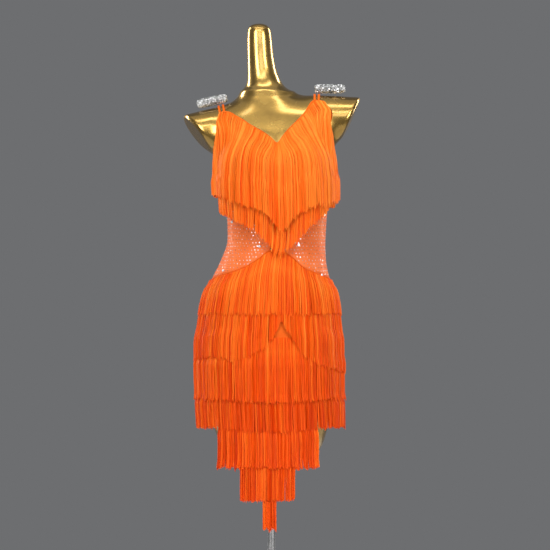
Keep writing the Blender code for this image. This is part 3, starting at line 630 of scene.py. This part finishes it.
def net_finish():
    """Sheer stretch net: a fine diamond mesh of thread, half see-through."""
    net = Finish("net_orange", 0.6, specular=0.15)
    across = net.wave(300.0, "DIAGONAL", (1.0, 1.0, 1.0))
    back = net.wave(300.0, "DIAGONAL", (-1.0, -1.0, 1.0))
    threads = net.math("MAXIMUM", across, back)
    tone = net.math("ADD", net.math("MULTIPLY", threads, 0.3), net.noise(22.0))
    net.ramp("Base Color", tone, (0.35, (0.92, 0.165, 0.032)), (0.95, (1.0, 0.235, 0.058)))
    net.ramp("Alpha", threads, (0.45, 0.60), (0.9, 0.84))
    net.bump(threads, 0.0002, 0.4)
    return net.material


def thread_finish():
    """Twisted rayon thread with a soft shine; every thread and clump has its own tone. The tone also
    holds painted shade (darker lower down, between clumps and on inner layers) and a painted highlight
    below each root.
    """
    thread = Finish("fringe_orange", 0.5, specular=0.12)
    tone = thread.attribute("tone")
    drift = thread.math("MULTIPLY", thread.noise(7.0, stretch=(1.0, 1.0, 0.5)), 0.25)
    colours = (
        (0.10, (0.60, 0.036, 0.0004)), (0.40, (0.84, 0.085, 0.002)),
        (0.62, (0.93, 0.165, 0.008)), (0.92, (1.0, 0.30, 0.034)),
    )
    thread.ramp("Base Color", thread.math("ADD", tone, drift), *colours)
    twist = thread.wave(420.0, "Z", (0.35, 0.35, 1.0))
    thread.bump(twist, 0.0003, 0.35)
    return thread.material


def stone_finish():
    """Foil-backed cut glass: mirror-bright facets, each stone a little lighter or darker."""
    stone = Finish("stone_silver", 0.10, 0.45)
    tone = stone.attribute("tone")
    greys = ((0.0, (0.10, 0.10, 0.09)), (0.45, (0.55, 0.57, 0.55)), (0.8, (1.0, 1.0, 1.0)))
    stone.ramp("Base Color", tone, *greys)
    stone.ramp("Roughness", stone.noise(900.0), (0.3, 0.03), (0.8, 0.12))
    return stone.material


def setting_finish():
    """The dark silvery base that the stones are glued to."""
    setting = Finish("stone_setting", 0.35, 0.9)
    grain = setting.noise(500.0)
    setting.ramp("Base Color", grain, (0.3, 0.16), (0.7, 0.36))
    setting.bump(grain, 0.0003, 0.5)
    return setting.material


def floor_finish():
    """Pale matt paint."""
    floor = Finish("floor_pale", 0.7, specular=0.2)
    floor.ramp("Base Color", floor.noise(2.0), (0.3, (0.50, 0.50, 0.49)), (0.7, (0.54, 0.54, 0.53)))
    return floor.material


def add_piece(name, mesh, materials, replaces=()):
    """Puts a mesh in the scene as a piece that rides on the part."""
    for material in materials:
        mesh.materials.append(material)
    piece = bpy.data.objects.new(name, mesh)
    bpy.context.scene.collection.objects.link(piece)
    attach(piece, "root")
    if replaces:
        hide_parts(*replaces)
    return piece


def mesh_from(name, points, faces, smooth=True, tones=None, material_index=None):
    mesh = bpy.data.meshes.new(name)
    mesh.from_pydata(np.asarray(points, float).tolist(), [], faces)
    if tones is not None:
        attribute = mesh.attributes.new("tone", "FLOAT", "POINT")
        attribute.data.foreach_set("value", np.asarray(tones, np.float32))
    if material_index is not None:
        mesh.polygons.foreach_set("material_index", np.asarray(material_index, np.int32))
    mesh.polygons.foreach_set("use_smooth", [smooth] * len(mesh.polygons))
    mesh.update()
    return mesh


def grid_faces(columns, rows):
    return [
        (i * rows + j, i * rows + j + 1, (i + 1) * rows + j + 1, (i + 1) * rows + j)
        for i in range(columns - 1)
        for j in range(rows - 1)
    ]


def ring_faces(rings, sides, closed=False):
    """Faces between rings of points: a closed loop of rings, or a row of them with capped ends."""
    faces = [
        (
            i * sides + j, i * sides + (j + 1) % sides,
            (i + 1) % rings * sides + (j + 1) % sides, (i + 1) % rings * sides + j,
        )
        for i in range(rings if closed else rings - 1)
        for j in range(sides)
    ]
    if not closed:
        last = (rings - 1) * sides
        faces += [tuple(range(sides))[::-1], tuple(range(last, last + sides))]
    return faces


def build_form(material):
    """The whole form as one even skin, laid exactly on the distance field."""
    heights = np.concatenate([
        np.linspace(FORM_BOTTOM, 0.335, 14), np.linspace(0.345, 1.03, 80),
        np.linspace(1.035, 1.16, 90), np.linspace(1.165, NECK_TOP, 40),
    ])
    angles = np.arange(FORM_SIDES) * 360.0 / FORM_SIDES
    share = ease((heights - NECK_TURN_START) / NECK_TURN_LENGTH)
    trunk_x, trunk_y = body_centre(heights)
    neck_x = column_of(NECK, "centre_x", heights)
    centre = (
        (trunk_x + (neck_x - trunk_x) * share)[:, None] + 0 * angles,
        (trunk_y + (NECK_CENTRE_Y - trunk_y) * share)[:, None] + 0 * angles,
    )
    at, turn = heights[:, None] + 0 * angles, 0 * heights[:, None] + angles
    points = place(turn, ray_radius(turn, at, 0.0, centre, form_distance), at, centre).reshape(-1, 3)
    rough = mesh_from("form_draft", points, ring_faces(len(heights), FORM_SIDES))
    draft = bpy.data.objects.new("form_draft", rough)
    bpy.context.scene.collection.objects.link(draft)
    even = draft.modifiers.new("even_skin", "REMESH")
    even.mode = "VOXEL"
    even.voxel_size = SKIN_VOXEL
    skin = bpy.data.meshes.new_from_object(draft.evaluated_get(bpy.context.evaluated_depsgraph_get()))
    bpy.data.objects.remove(draft, do_unlink=True)
    skin.name = "form"
    points = np.empty(len(skin.vertices) * 3)
    skin.vertices.foreach_get("co", points)
    points = points.reshape(-1, 3)
    for _ in range(SETTLE_ROUNDS):
        points = settle(points)
    skin.vertices.foreach_set("co", points.reshape(-1))
    skin.polygons.foreach_set("use_smooth", [True] * len(skin.polygons))
    skin.update()
    add_piece("form", skin, [material], ["form_torso"])


def settle(points):
    """Moves points along the field's slope onto its surface."""
    slope = field_slope(form_distance, points, SETTLE_STEP) / (2 * SETTLE_STEP)
    steepness = np.maximum((slope**2).sum(axis=1), LEAST_STEEPNESS)
    move = slope * (form_distance(*points.T) / steepness)[:, None]
    reach = np.linalg.norm(move, axis=1, keepdims=True)
    return points - move * np.minimum(1.0, LONGEST_MOVE / np.maximum(reach, TINY))


def finish_stand(material):
    """The plate and the pole keep their solids and take a brushed steel finish."""
    for name in ("stand_base", "stand_pole"):
        for slot in NODES[name].material_slots:
            slot.material = material


def cloth_piece(name, node, top, hem, rows, material, hangs=False, top_ease=0.0, crease=0.0):
    """A thin shell on the body, from a top edge to a hem, given as (angles, heights)."""
    share = np.linspace(0, 1, rows)
    angle = top[0][:, None] + (hem[0] - top[0])[:, None] * share
    height = top[1][:, None] + (hem[1] - top[1])[:, None] * share
    radius = ray_radius(angle, height, CLOTH_CLEARANCE + top_ease * (1 - share**2) + 0 * angle)
    if hangs:
        radius = np.maximum.accumulate(radius, axis=1)
    wave = np.sin(np.radians(angle) * CREASES_ROUND + CREASE_LEAN * share)
    radius = radius + crease * share * (0.5 + 0.5 * wave)
    points = place(angle, radius, height).reshape(-1, 3)
    mesh = mesh_from(name, points, grid_faces(len(hem[0]), rows))
    piece = add_piece(name, mesh, [material], [node])
    wall = piece.modifiers.new("wall", "SOLIDIFY")
    wall.thickness = CLOTH_THICKNESS
    wall.offset = 1.0
    return piece


def tube(points, radius, sides):
    """The points and faces of a round cord along a closed line of points."""
    ahead = unit(np.roll(points, -1, axis=0) - np.roll(points, 1, axis=0))
    side = unit(np.cross(ahead, field_normal(points)))
    out = np.cross(side, ahead)
    turn = (np.arange(sides) * 2 * np.pi / sides)[:, None]
    ring = points[:, None] + radius * (side[:, None] * np.cos(turn) + out[:, None] * np.sin(turn))
    return ring.reshape(-1, 3), ring_faces(len(points), sides, closed=True)


def on_surface(angle, height, clearance):
    return place(angle, ray_radius(angle, height, clearance + 0 * angle), height)


def skirt_radius(angle, height):
    """Where the skirt hangs below the hips, with room for a tape on it."""
    share = np.linspace(0, 1, 8)
    start = np.maximum(height, HIP_HEIGHT)
    heights = start[:, None] + (height - start)[:, None] * share
    angles = angle[:, None] + 0 * heights
    return ray_radius(angles, heights, TAPE_CLEARANCE + 0 * heights).max(axis=1)


def hanging_paths(span, root, hem, lower_roots, stand_off):
    """Angles, radii and heights in steps down the tier from its root, at columns round it."""
    columns = int(round((span[1] - span[0]) / COLUMN_STEP * 2)) + 1
    hem_angle = np.linspace(span[0], span[1], columns)
    root_angle, root_height = root(hem_angle)
    hem_height = edge_height(hem, hem_angle)
    steps = np.linspace(0, 1, HANG_STEPS)
    turn = (hem_angle - root_angle + 180.0) % 360.0 - 180.0
    height = root_height[:, None] + (hem_height - root_height)[:, None] * steps
    angle = (hem_angle - turn)[:, None] + turn[:, None] * ease((root_height[:, None] - height) / FAN_DROP)
    lift = ease((root_height[:, None] - height) / BEND_START)
    clearance = stand_off + TAPE_CLEARANCE + (THREAD_CLEARANCE - TAPE_CLEARANCE) * lift
    radius = ray_radius(angle, height, clearance)
    radius[:, 0] = np.maximum(radius[:, 0], skirt_radius(root_angle, root_height) + stand_off)
    radius = np.maximum.accumulate(radius, axis=1)
    for lower in lower_roots:
        start_height = edge_height(lower, angle) + BEND_START
        radius = radius + LAYER_PITCH * ease((start_height - height) / (BEND_START - BEND_END))
    if hem is TIER_4_HEM:
        near = np.exp(-(((hem_angle - TULIP_LIFT_ANGLE) / TULIP_LIFT_REACH) ** 2))
        radius = radius + TULIP_LIFT * near[:, None] * steps**3
    return angle, radius, height


def thread_points(paths, rows, closed):
    """The centres, tones and outward directions of every thread, as (thread, row) arrays. The tones hold
    painted shade and a painted highlight as well as each thread's own tone.
    """
    angle, radius, height = paths
    columns = len(angle)
    mean_length = float((height[:, 0] - height[:, -1]).mean())
    width = math.radians(angle[-1, -1] - angle[0, -1]) * TIER_RADIUS
    clumps = max(3, int(width / CLUMP_WIDTH))
    per_layer = int(width / THREAD_PITCH)
    edges = np.sort((np.arange(clumps) + RANDOM.uniform(-CLUMP_SHIFT, CLUMP_SHIFT, clumps)) / clumps)
    clump_tone = RANDOM.normal(0.0, CLUMP_TONE_SPREAD, clumps)
    clump_depth = RANDOM.uniform(0.0, CLUMP_DEPTH, clumps)
    clump_length = RANDOM.normal(0.0, CLUMP_LENGTH_SPREAD, clumps)
    clump_sway = RANDOM.normal(0.0, CLUMP_SWAY, clumps)
    found = []
    layers = THREAD_LAYERS if closed else UNBACKED_LAYERS
    for layer, depth in enumerate(layers):
        at = (np.arange(per_layer) + layer / len(layers)) / per_layer
        at = np.clip(at + RANDOM.normal(0, THREAD_SHIFT / per_layer, per_layer), 0.0, 1.0)
        clump = np.clip(np.searchsorted(edges, at) - 1, 0, clumps - 1)
        upper = np.append(edges[1:], 1.0)
        middle = (edges[clump] + upper[clump]) / 2
        half = np.maximum((upper[clump] - edges[clump]) / 2, 1e-4)
        beside = np.clip(np.abs(at - middle) / half, 0, 1)
        share = np.linspace(0, 1, rows)
        drawn = at[:, None] + (middle - at)[:, None] * CLUMP_DRAW * share**1.5
        sway = clump_sway[clump][:, None] / width * share**2
        wander = RANDOM.normal(0, THREAD_WANDER, (per_layer, 1)) / width
        wander = wander * np.sin(share * THREAD_WANDER_TURNS)
        drawn = np.clip(drawn + sway + wander, 0.0, 1.0) * (columns - 1)
        longer = clump_length[clump] + RANDOM.normal(0, THREAD_LENGTH_SPREAD, per_layer)
        is_long = RANDOM.random(per_layer) < LONG_THREAD_SHARE
        longer = longer + np.where(is_long, RANDOM.uniform(0, LONG_THREAD_EXTRA, per_layer), 0)
        step = np.clip(share * (1 + longer / mean_length)[:, None], 0, None) * (HANG_STEPS - 1)
        left = np.clip(np.floor(drawn).astype(int), 0, columns - 2)
        upper_step = np.clip(np.floor(step).astype(int), 0, HANG_STEPS - 2)
        u, v = drawn - left, step - upper_step
        values = []
        for grid in (angle, radius, height):
            near = grid[left, upper_step] * (1 - v) + grid[left, upper_step + 1] * v
            next_to = grid[left + 1, upper_step] * (1 - v) + grid[left + 1, upper_step + 1] * v
            values.append(near * (1 - u) + next_to * u)
        rounding = -CLUMP_ROUNDING * beside**2
        own_depth = RANDOM.normal(0, THREAD_DEPTH_SPREAD, per_layer)
        outer = depth + clump_depth[clump] + rounding + own_depth
        values[1] = values[1] + TAPE_THICKNESS + outer[:, None] * (1 - HEM_PRESS * share**4)
        # Painted shade: threads at a clump's edges and in the inner layers are darker.
        tone = clump_tone[clump] - CLUMP_EDGE_PAINTED_SHADE * beside**2 + LAYER_PAINTED_SHADE * layer
        tone = tone + RANDOM.normal(0, THREAD_TONE_SPREAD, per_layer)
        # Painted shade: the tone rises with height, so lower threads are darker.
        tone = tone[:, None] + TONE_AT_MIDDLE + PAINTED_SHADE_RISE * (values[2] - TONE_HEIGHT)
        drop = values[2][:, :1] - values[2]
        # Painted highlight: a lighter band where each thread bends below its root.
        tone = tone + BEND_SHINE * np.exp(-(((drop - BEND_SHINE_DROP) / BEND_SHINE_REACH) ** 2))
        found.append((*values, tone))
    angle, radius, height = (np.concatenate([item[k] for item in found]) for k in range(3))
    return place(angle, radius, height), outward_at(angle), np.concatenate([item[3] for item in found])


def thread_mesh(centres, outward, tones):
    """Three-sided threads, closed at both ends: points, faces and the tone of each point."""
    threads, rows = centres.shape[:2]
    beside = np.stack([-outward[..., 1], outward[..., 0], 0 * outward[..., 0]], axis=-1)
    spin = RANDOM.uniform(0, 2 * np.pi, (threads, 1))
    thickness = THREAD_RADIUS * np.linspace(1.0, THREAD_TAPER, rows)
    corners = []
    for side in range(3):
        turn = spin + side * 2 * np.pi / 3
        offset = outward * np.cos(turn)[..., None] + beside * np.sin(turn)[..., None]
        corners.append(centres + offset * thickness[:, None])
    points = np.stack(corners, axis=2).reshape(-1, 3)
    start = (np.arange(threads) * rows * 3)[:, None, None]
    row = (np.arange(rows - 1) * 3)[None, :, None]
    side = np.arange(3)[None, None, :]
    low, following = start + row + side, start + row + (side + 1) % 3
    quads = np.stack([low, following, following + 3, low + 3], axis=-1).reshape(-1, 4)
    first = (np.arange(threads) * rows * 3)[:, None]
    caps = np.concatenate([first + [2, 1, 0], first + (rows - 1) * 3 + [0, 1, 2]])
    return points, quads.tolist() + caps.tolist(), np.repeat(tones.reshape(-1), 3)


def tape_mesh(paths, closed):
    """The narrow tape that the threads are sewn into."""
    angle, radius, height = (grid[:-1] if closed else grid for grid in paths)
    inner, outer = radius[:, 0] - TAPE_OVERLAP, radius[:, 0] + TAPE_THICKNESS
    ring = np.stack([
        place(angle[:, 0], inner, height[:, 0]),
        place(angle[:, 0], outer, height[:, 0]),
        place(angle[:, 0], outer + TAPE_FLARE, height[:, 0] - TAPE_HEIGHT),
        place(angle[:, 0], inner, height[:, 0] - TAPE_HEIGHT),
    ], axis=1)
    return ring.reshape(-1, 3), ring_faces(len(ring), 4, closed)


def build_tier(number, span, root, hem, lower_roots, stand_off, rows, thread, cloth):
    """One tier: all its threads and its tape."""
    closed = span[1] - span[0] >= 360.0
    paths = hanging_paths(span, root, hem, lower_roots, stand_off)
    points, faces, tones = thread_mesh(*thread_points(paths, rows, closed))
    tape_points, tape_faces = tape_mesh(paths, closed)
    shift = len(points)
    index = [0] * len(faces) + [1] * len(tape_faces)
    faces = faces + [tuple(corner + shift for corner in face) for face in tape_faces]
    tones = np.concatenate([tones, np.full(len(tape_points), TAPE_TONE)])
    name = f"fringe_{number}"
    mesh = mesh_from(name, np.concatenate([points, tape_points]), faces, False, tones, index)
    return add_piece(name, mesh, [thread, cloth], [f"fringe_tier_{number}"])


def line_root(line, drop=0.0):
    return lambda angle: (angle, edge_height(line, angle) - drop)


def bodice_root(angle):
    """The threads leave the neckline square to it, so they start nearer to its middle than they end."""
    turned = (angle + 180.0) % 360.0 - 180.0
    fanned = np.interp(np.abs(turned), FAN_ANGLES, (0.0, 1.0, 1.0, 0.0))
    top_angle, top_height = bodice_top(angle - np.sign(turned) * FAN_SHIFT * fanned)
    return top_angle, top_height - TIER_1_ROOT_DROP


def build_fringe(thread, cloth):
    """Nine tiers. Those above hang over the roots of those below."""
    tier_4_root = [(angle, height - TIER_4_ROOT_DROP) for angle, height in SKIRT_TOP]
    lowest = [TIER_7_ROOT, TIER_8_ROOT, TIER_9_ROOT]
    tiers = (
        (AROUND, bodice_root, TIER_1_HEM, [TIER_2_ROOT], TIER_1_STAND_OFF, 12),
        (AROUND, line_root(TIER_2_ROOT), TIER_2_HEM, [], TIER_2_STAND_OFF, 8),
        (AROUND, line_root(SKIRT_TOP, TIER_3_ROOT_DROP), TIER_3_HEM, [tier_4_root], 0.0, 9),
        (AROUND, line_root(tier_4_root), TIER_4_HEM, [TIER_5_ROOT, TIER_6_ROOT], 0.0, 11),
        (AROUND, line_root(TIER_5_ROOT), TIER_5_HEM, [TIER_6_ROOT, TIER_7_ROOT], 0.0, 10),
        (AROUND, line_root(TIER_6_ROOT), TIER_6_HEM, lowest, 0.0, 9),
        (TIER_7_SPAN, line_root(TIER_7_ROOT), TIER_7_HEM, lowest[1:], 0.0, 9),
        (TIER_8_SPAN, line_root(TIER_8_ROOT), TIER_8_HEM, lowest[2:], 0.0, 9),
        (TIER_9_SPAN, line_root(TIER_9_ROOT), TIER_9_HEM, [], TIER_9_STAND_OFF, 8),
    )
    return [
        build_tier(number, *tier, thread, cloth)
        for number, tier in enumerate(tiers, start=1)
    ]


def gem_shape(sides):
    """One cut stone of radius 1, flat side down: a table, a crown and a low girdle."""
    turn = np.arange(sides) * 2 * np.pi / sides
    rings = []
    for radius, rise, shift in ((0.90, -0.15, 0.0), (1.0, 0.10, 0.0), (0.58, 0.52, 0.5)):
        at = turn + shift * 2 * np.pi / sides
        rings.append(np.stack([radius * np.cos(at), radius * np.sin(at), 0 * at + rise], axis=-1))
    faces = [tuple(range(sides))[::-1], tuple(2 * sides + i for i in range(sides))]
    for i in range(sides):
        j = (i + 1) % sides
        faces.append((i, j, sides + j, sides + i))
        faces.append((sides + i, sides + j, 2 * sides + i))
        faces.append((sides + j, 2 * sides + j, 2 * sides + i))
    return np.concatenate(rings), faces


def gems(places, normals, radii, sides, tone=None):
    """Cut stones at these places, each turned and toned at random."""
    shape, shape_faces = gem_shape(sides)
    count, corners = len(places), len(shape)
    helper = np.where(np.abs(normals[:, 2:]) < 0.9, [[0.0, 0.0, 1.0]], [[1.0, 0.0, 0.0]])
    first = unit(np.cross(helper, normals))
    second = np.cross(normals, first)
    spin = RANDOM.uniform(0, 2 * np.pi, count)[:, None]
    first, second = (
        first * np.cos(spin) + second * np.sin(spin),
        second * np.cos(spin) - first * np.sin(spin),
    )
    axes = np.stack([first, second, normals], axis=1)
    points = places[:, None] + np.asarray(radii)[:, None, None] * (shape[None] @ axes)
    faces = [tuple(k * corners + c for c in face) for k in range(count) for face in shape_faces]
    tones = np.repeat(RANDOM.uniform(0.0, 1.0, count) if tone is None else np.full(count, tone), corners)
    return points.reshape(-1, 3), faces, tones


def power_of(value, exponent):
    return np.sign(value) * np.abs(value) ** exponent


def bar_surface(u, v, inset):
    """A padded bar with rounded edges, round its own middle."""
    half = np.array([BAR_HALF_LENGTH, BAR_HALF_DEPTH, BAR_HALF_HEIGHT]) - inset
    across = np.abs(np.cos(v)) ** BAR_TAPER_POWER
    return np.stack([
        half[0] * power_of(np.sin(v), BAR_END_POWER),
        half[1] * across * power_of(np.cos(u), BAR_EDGE_POWER),
        half[2] * across * power_of(np.sin(u), BAR_EDGE_POWER),
    ], axis=-1)


def build_bar(bar, stone, setting):
    """A padded bar that is covered all over with cut stones."""
    turn = Matrix.Rotation(math.radians(-bar["tilt"]), 3, "Y")
    turn = np.array([list(line) for line in turn])
    middle = np.array([bar["x"], SHOULDER_CENTRE_Y, bar["height"]])
    rings, sides = 25, 32
    v = np.linspace(-np.pi / 2, np.pi / 2, rings)[1:-1]
    u = np.arange(sides) * 2 * np.pi / sides
    grid = bar_surface(u[None, :] + 0 * v[:, None], v[:, None] + 0 * u[None, :], BAR_STONE_INSET)
    points = grid.reshape(-1, 3)
    faces = [face[::-1] for face in ring_faces(len(v), sides)]
    cu = RANDOM.uniform(0, 2 * np.pi, BAR_STONE_TRIES)
    cv = np.arcsin(RANDOM.uniform(-1, 1, BAR_STONE_TRIES))
    spots = bar_surface(cu, cv, BAR_STONE_INSET)
    nudge = 0.01
    along_u = bar_surface(cu + nudge, cv, BAR_STONE_INSET) - bar_surface(cu - nudge, cv, BAR_STONE_INSET)
    along_v = bar_surface(cu, cv + nudge, BAR_STONE_INSET) - bar_surface(cu, cv - nudge, BAR_STONE_INSET)
    normals = np.cross(along_u, along_v)
    length = np.linalg.norm(normals, axis=1)
    chosen, spacing = [], BAR_STONE_SPACING * BAR_STONE_RADIUS
    for k in np.flatnonzero(length > 1e-10):
        if not chosen or np.linalg.norm(spots[chosen] - spots[k], axis=1).min() > spacing:
            chosen.append(k)
    normals = normals[chosen] / length[chosen][:, None]
    normals *= np.sign((normals * spots[chosen]).sum(axis=1))[:, None]
    radii = BAR_STONE_RADIUS * RANDOM.uniform(*BAR_STONE_SIZES, len(chosen))
    tilted = unit(normals + RANDOM.normal(0, BAR_STONE_TILT, normals.shape))
    gem_points, gem_faces, gem_tones = gems(spots[chosen], tilted, radii, 8)
    index = [1] * len(faces) + [0] * len(gem_faces)
    faces += [tuple(corner + len(points) for corner in face) for face in gem_faces]
    tones = np.concatenate([np.zeros(len(points)), gem_tones])
    points = np.concatenate([points, gem_points]) @ turn.T + middle
    mesh = mesh_from(f"{bar['name']}_stones", points, faces, False, tones, index)
    add_piece(mesh.name, mesh, [stone, setting], [bar["name"]])


def build_strap(strap, material):
    """A narrow strap over the shoulder, its ends tucked under the bodice's edge."""
    turns = np.linspace(-120, 120, 97)
    x = smooth_curve([-120, 0, 120], [strap["front_x"], strap["shoulder_x"], strap["back_x"]], turns)
    axis_height = column_of(SHOULDERS, "axis_height", x)
    side, up = np.sin(np.radians(turns)), np.cos(np.radians(turns))
    reach = leaves_at(
        lambda r: body_distance(x, SHOULDER_CENTRE_Y + r * side, axis_height + r * up) > STRAP_CLEARANCE,
        0 * turns, STRAP_LIMIT + 0 * turns,
    )
    line = np.stack([x, SHOULDER_CENTRE_Y + reach * side, axis_height + reach * up], axis=-1)
    lowest = np.where(turns < 0, strap["front_height"], strap["back_height"]) - STRAP_TUCK
    line = line[line[:, 2] > lowest]
    out = field_normal(line)
    beside = unit(np.cross(np.gradient(line, axis=0), out))
    sides = 10
    turn = np.arange(sides) * 2 * np.pi / sides
    centre = line + out * STRAP_THICKNESS / 2
    ring = (
        centre[:, None]
        + beside[:, None] * power_of(np.cos(turn), STRAP_EDGE_POWER)[:, None] * STRAP_WIDTH / 2
        + out[:, None] * power_of(np.sin(turn), STRAP_EDGE_POWER)[:, None] * STRAP_THICKNESS / 2
    )
    mesh = mesh_from(f"{strap['name']}_cord", ring.reshape(-1, 3), ring_faces(len(line), sides))
    add_piece(mesh.name, mesh, [material], [strap["name"]])


def build_net_stones(name, middle, stone):
    """Small stones in staggered rows over a net panel."""
    angle_pitch = math.degrees(NET_STONE_PITCH / WAIST_RADIUS)
    reach = NET_REACH - 1.5
    angles, heights = [], []
    for row, height in enumerate(np.arange(*NET_STONE_HEIGHTS, NET_STONE_PITCH * NET_STONE_ROW_SHARE)):
        at = middle + np.arange(-reach, reach, angle_pitch) + 0.5 * angle_pitch * (row % 2)
        low, high = edge_height(SKIRT_TOP, at) + 0.004, edge_height(BODICE_HEM, at) - 0.003
        at = at[(height > low) & (height < high)]
        angles.append(at + RANDOM.normal(0, NET_STONE_ANGLE_SPREAD, len(at)))
        heights.append(height + RANDOM.normal(0, NET_STONE_HEIGHT_SPREAD, len(at)))
    angle, height = np.concatenate(angles), np.concatenate(heights)
    spots = on_surface(angle, height, CLOTH_CLEARANCE + CLOTH_THICKNESS)
    radii = RANDOM.uniform(*NET_STONE_RADII, len(angle))
    points, faces, tones = gems(spots, field_normal(spots), radii, 6)
    add_piece(name, mesh_from(name, points, faces, False, tones), [stone])


def build_large_stones(stone):
    """Six larger stones at the corners of the net panels."""
    column, row = np.array(LARGE_STONE_PIXELS).T
    x, z = (column - PHOTO_MIDDLE) * PIXEL, (PHOTO_FLOOR - row) * PIXEL
    angle = angle_at(x, z, False, CLOTH_CLEARANCE)
    spots = on_surface(angle, z, CLOTH_CLEARANCE + CLOTH_THICKNESS + 0.0003)
    normals = field_normal(spots)
    radii = np.full(len(x), LARGE_STONE_RADIUS)
    points, faces, tones = gems(spots + normals * 0.0006, normals, radii, 10, 1.0)
    name = "large_stones"
    add_piece(name, mesh_from(name, points, faces, False, tones), [stone])


def build_piping(cloth):
    """Narrow bindings along the neckline, the armholes and the edges of the net panels."""
    around = np.arange(AROUND[0], AROUND[1], PIPING_STEP)
    top_angle, top_height = bodice_top(around)
    rise = CLOTH_CLEARANCE + CLOTH_THICKNESS
    lines = {
        "piping_top": on_surface(top_angle, top_height, rise + BODICE_TOP_EASE - CLOTH_THICKNESS / 2),
        "piping_bodice_hem": on_surface(around, edge_height(BODICE_HEM, around), rise),
        "piping_skirt_top": on_surface(around, edge_height(SKIRT_TOP, around), rise),
    }
    for name, line in lines.items():
        points, faces = tube(line, PIPING_RADIUS, 8)
        add_piece(name, mesh_from(name, points, faces), [cloth])


def build_cloth(cloth, net):
    """The bodice, the net panels and the skirt, each in the pieces that a maker would cut."""
    pieces = {}
    for name, start in (("bodice_front", -90.0), ("bodice_back", 90.0)):
        hem_angle = np.arange(start, start + 180.1, COLUMN_STEP)
        top_angle, top_height = bodice_top(hem_angle)
        top_angle = hem_angle + (top_angle - hem_angle + 180.0) % 360.0 - 180.0
        hem = (hem_angle, edge_height(BODICE_HEM, hem_angle) + SEAM_RISE / 2)
        pieces[name] = cloth_piece(
            f"{name}_cloth", name, (top_angle, top_height), hem, 26, cloth,
            top_ease=BODICE_TOP_EASE,
        )
    for name, middle in (("net_left", -90.0), ("net_right", 90.0)):
        angle = middle + np.arange(-NET_REACH, NET_REACH + 0.1, COLUMN_STEP)
        top = (angle, edge_height(BODICE_HEM, angle) - SEAM_RISE / 2)
        hem = (angle, edge_height(SKIRT_TOP, angle) + SEAM_RISE / 2)
        pieces[name] = cloth_piece(f"{name}_mesh", name, top, hem, 20, net)
    for name, start in (("skirt_front", -90.0), ("skirt_back", 90.0)):
        angle = np.arange(start, start + 180.1, COLUMN_STEP)
        top = (angle, edge_height(SKIRT_TOP, angle) - SEAM_RISE / 2)
        hem = (angle, edge_height(SKIRT_HEM, angle))
        pieces[name] = cloth_piece(
            f"{name}_cloth", name, top, hem, 40, cloth, hangs=True, crease=0.0004
        )
    return pieces


def add_light(name, place_at, size, power, target):
    light = bpy.data.lights.new(name, "AREA")
    light.shape = "RECTANGLE"
    light.size, light.size_y = size
    light.energy = power
    lamp = bpy.data.objects.new(name, light)
    lamp.location = place_at
    lamp.rotation_euler = (Vector(target) - Vector(place_at)).to_track_quat("-Z", "Y").to_euler()
    bpy.context.scene.collection.objects.link(lamp)


def build_studio(floor_material):
    """A pale floor, a plain grey surround, soft lights, and the photograph's camera."""
    disc = bmesh.new()
    bmesh.ops.create_circle(disc, cap_ends=True, segments=128, radius=FLOOR_RADIUS)
    mesh = bpy.data.meshes.new("floor")
    disc.to_mesh(mesh)
    disc.free()
    mesh.materials.append(floor_material)
    floor = bpy.data.objects.new("floor", mesh)
    bpy.context.scene.collection.objects.link(floor)

    world = bpy.data.worlds.new("studio")
    world.use_nodes = True
    background = world.node_tree.nodes["Background"]
    background.inputs["Color"].default_value = SURROUND_GREY
    background.inputs["Strength"].default_value = 1.0
    bpy.context.scene.world = world
    bpy.context.scene.view_settings.view_transform = "Standard"

    for light in LIGHTS:
        add_light(*light)

    lens = bpy.data.cameras.new("camera")
    lens.sensor_width = SENSOR_WIDTH
    lens.lens = SENSOR_WIDTH * CAMERA_DISTANCE / (PHOTO_SIZE * PIXEL)
    lens.clip_end = 60.0
    camera = bpy.data.objects.new("camera", lens)
    x = (PHOTO_SIZE / 2 - PHOTO_MIDDLE) * PIXEL
    z = (PHOTO_FLOOR - PHOTO_SIZE / 2) * PIXEL
    camera.location = (x, -CAMERA_DISTANCE, z)
    camera.rotation_euler = (math.pi / 2, 0, 0)
    bpy.context.scene.collection.objects.link(camera)
    bpy.context.scene.camera = camera


GOLD = gold_finish()
STEEL = steel_finish()
CLOTH = cloth_finish()
NET = net_finish()
THREAD = thread_finish()
STONE = stone_finish()
SETTING = setting_finish()

build_form(GOLD)
finish_stand(STEEL)
cloth_pieces = build_cloth(CLOTH, NET)
fringe_pieces = build_fringe(THREAD, CLOTH)
for strap_row in rows_of(STRAPS):
    build_strap(strap_row, CLOTH)
for bar_row in rows_of(BARS):
    build_bar(bar_row, STONE, SETTING)
build_piping(CLOTH)
build_net_stones("net_stones_left", -90.0, STONE)
build_net_stones("net_stones_right", 90.0, STONE)
build_large_stones(STONE)
build_studio(floor_finish())
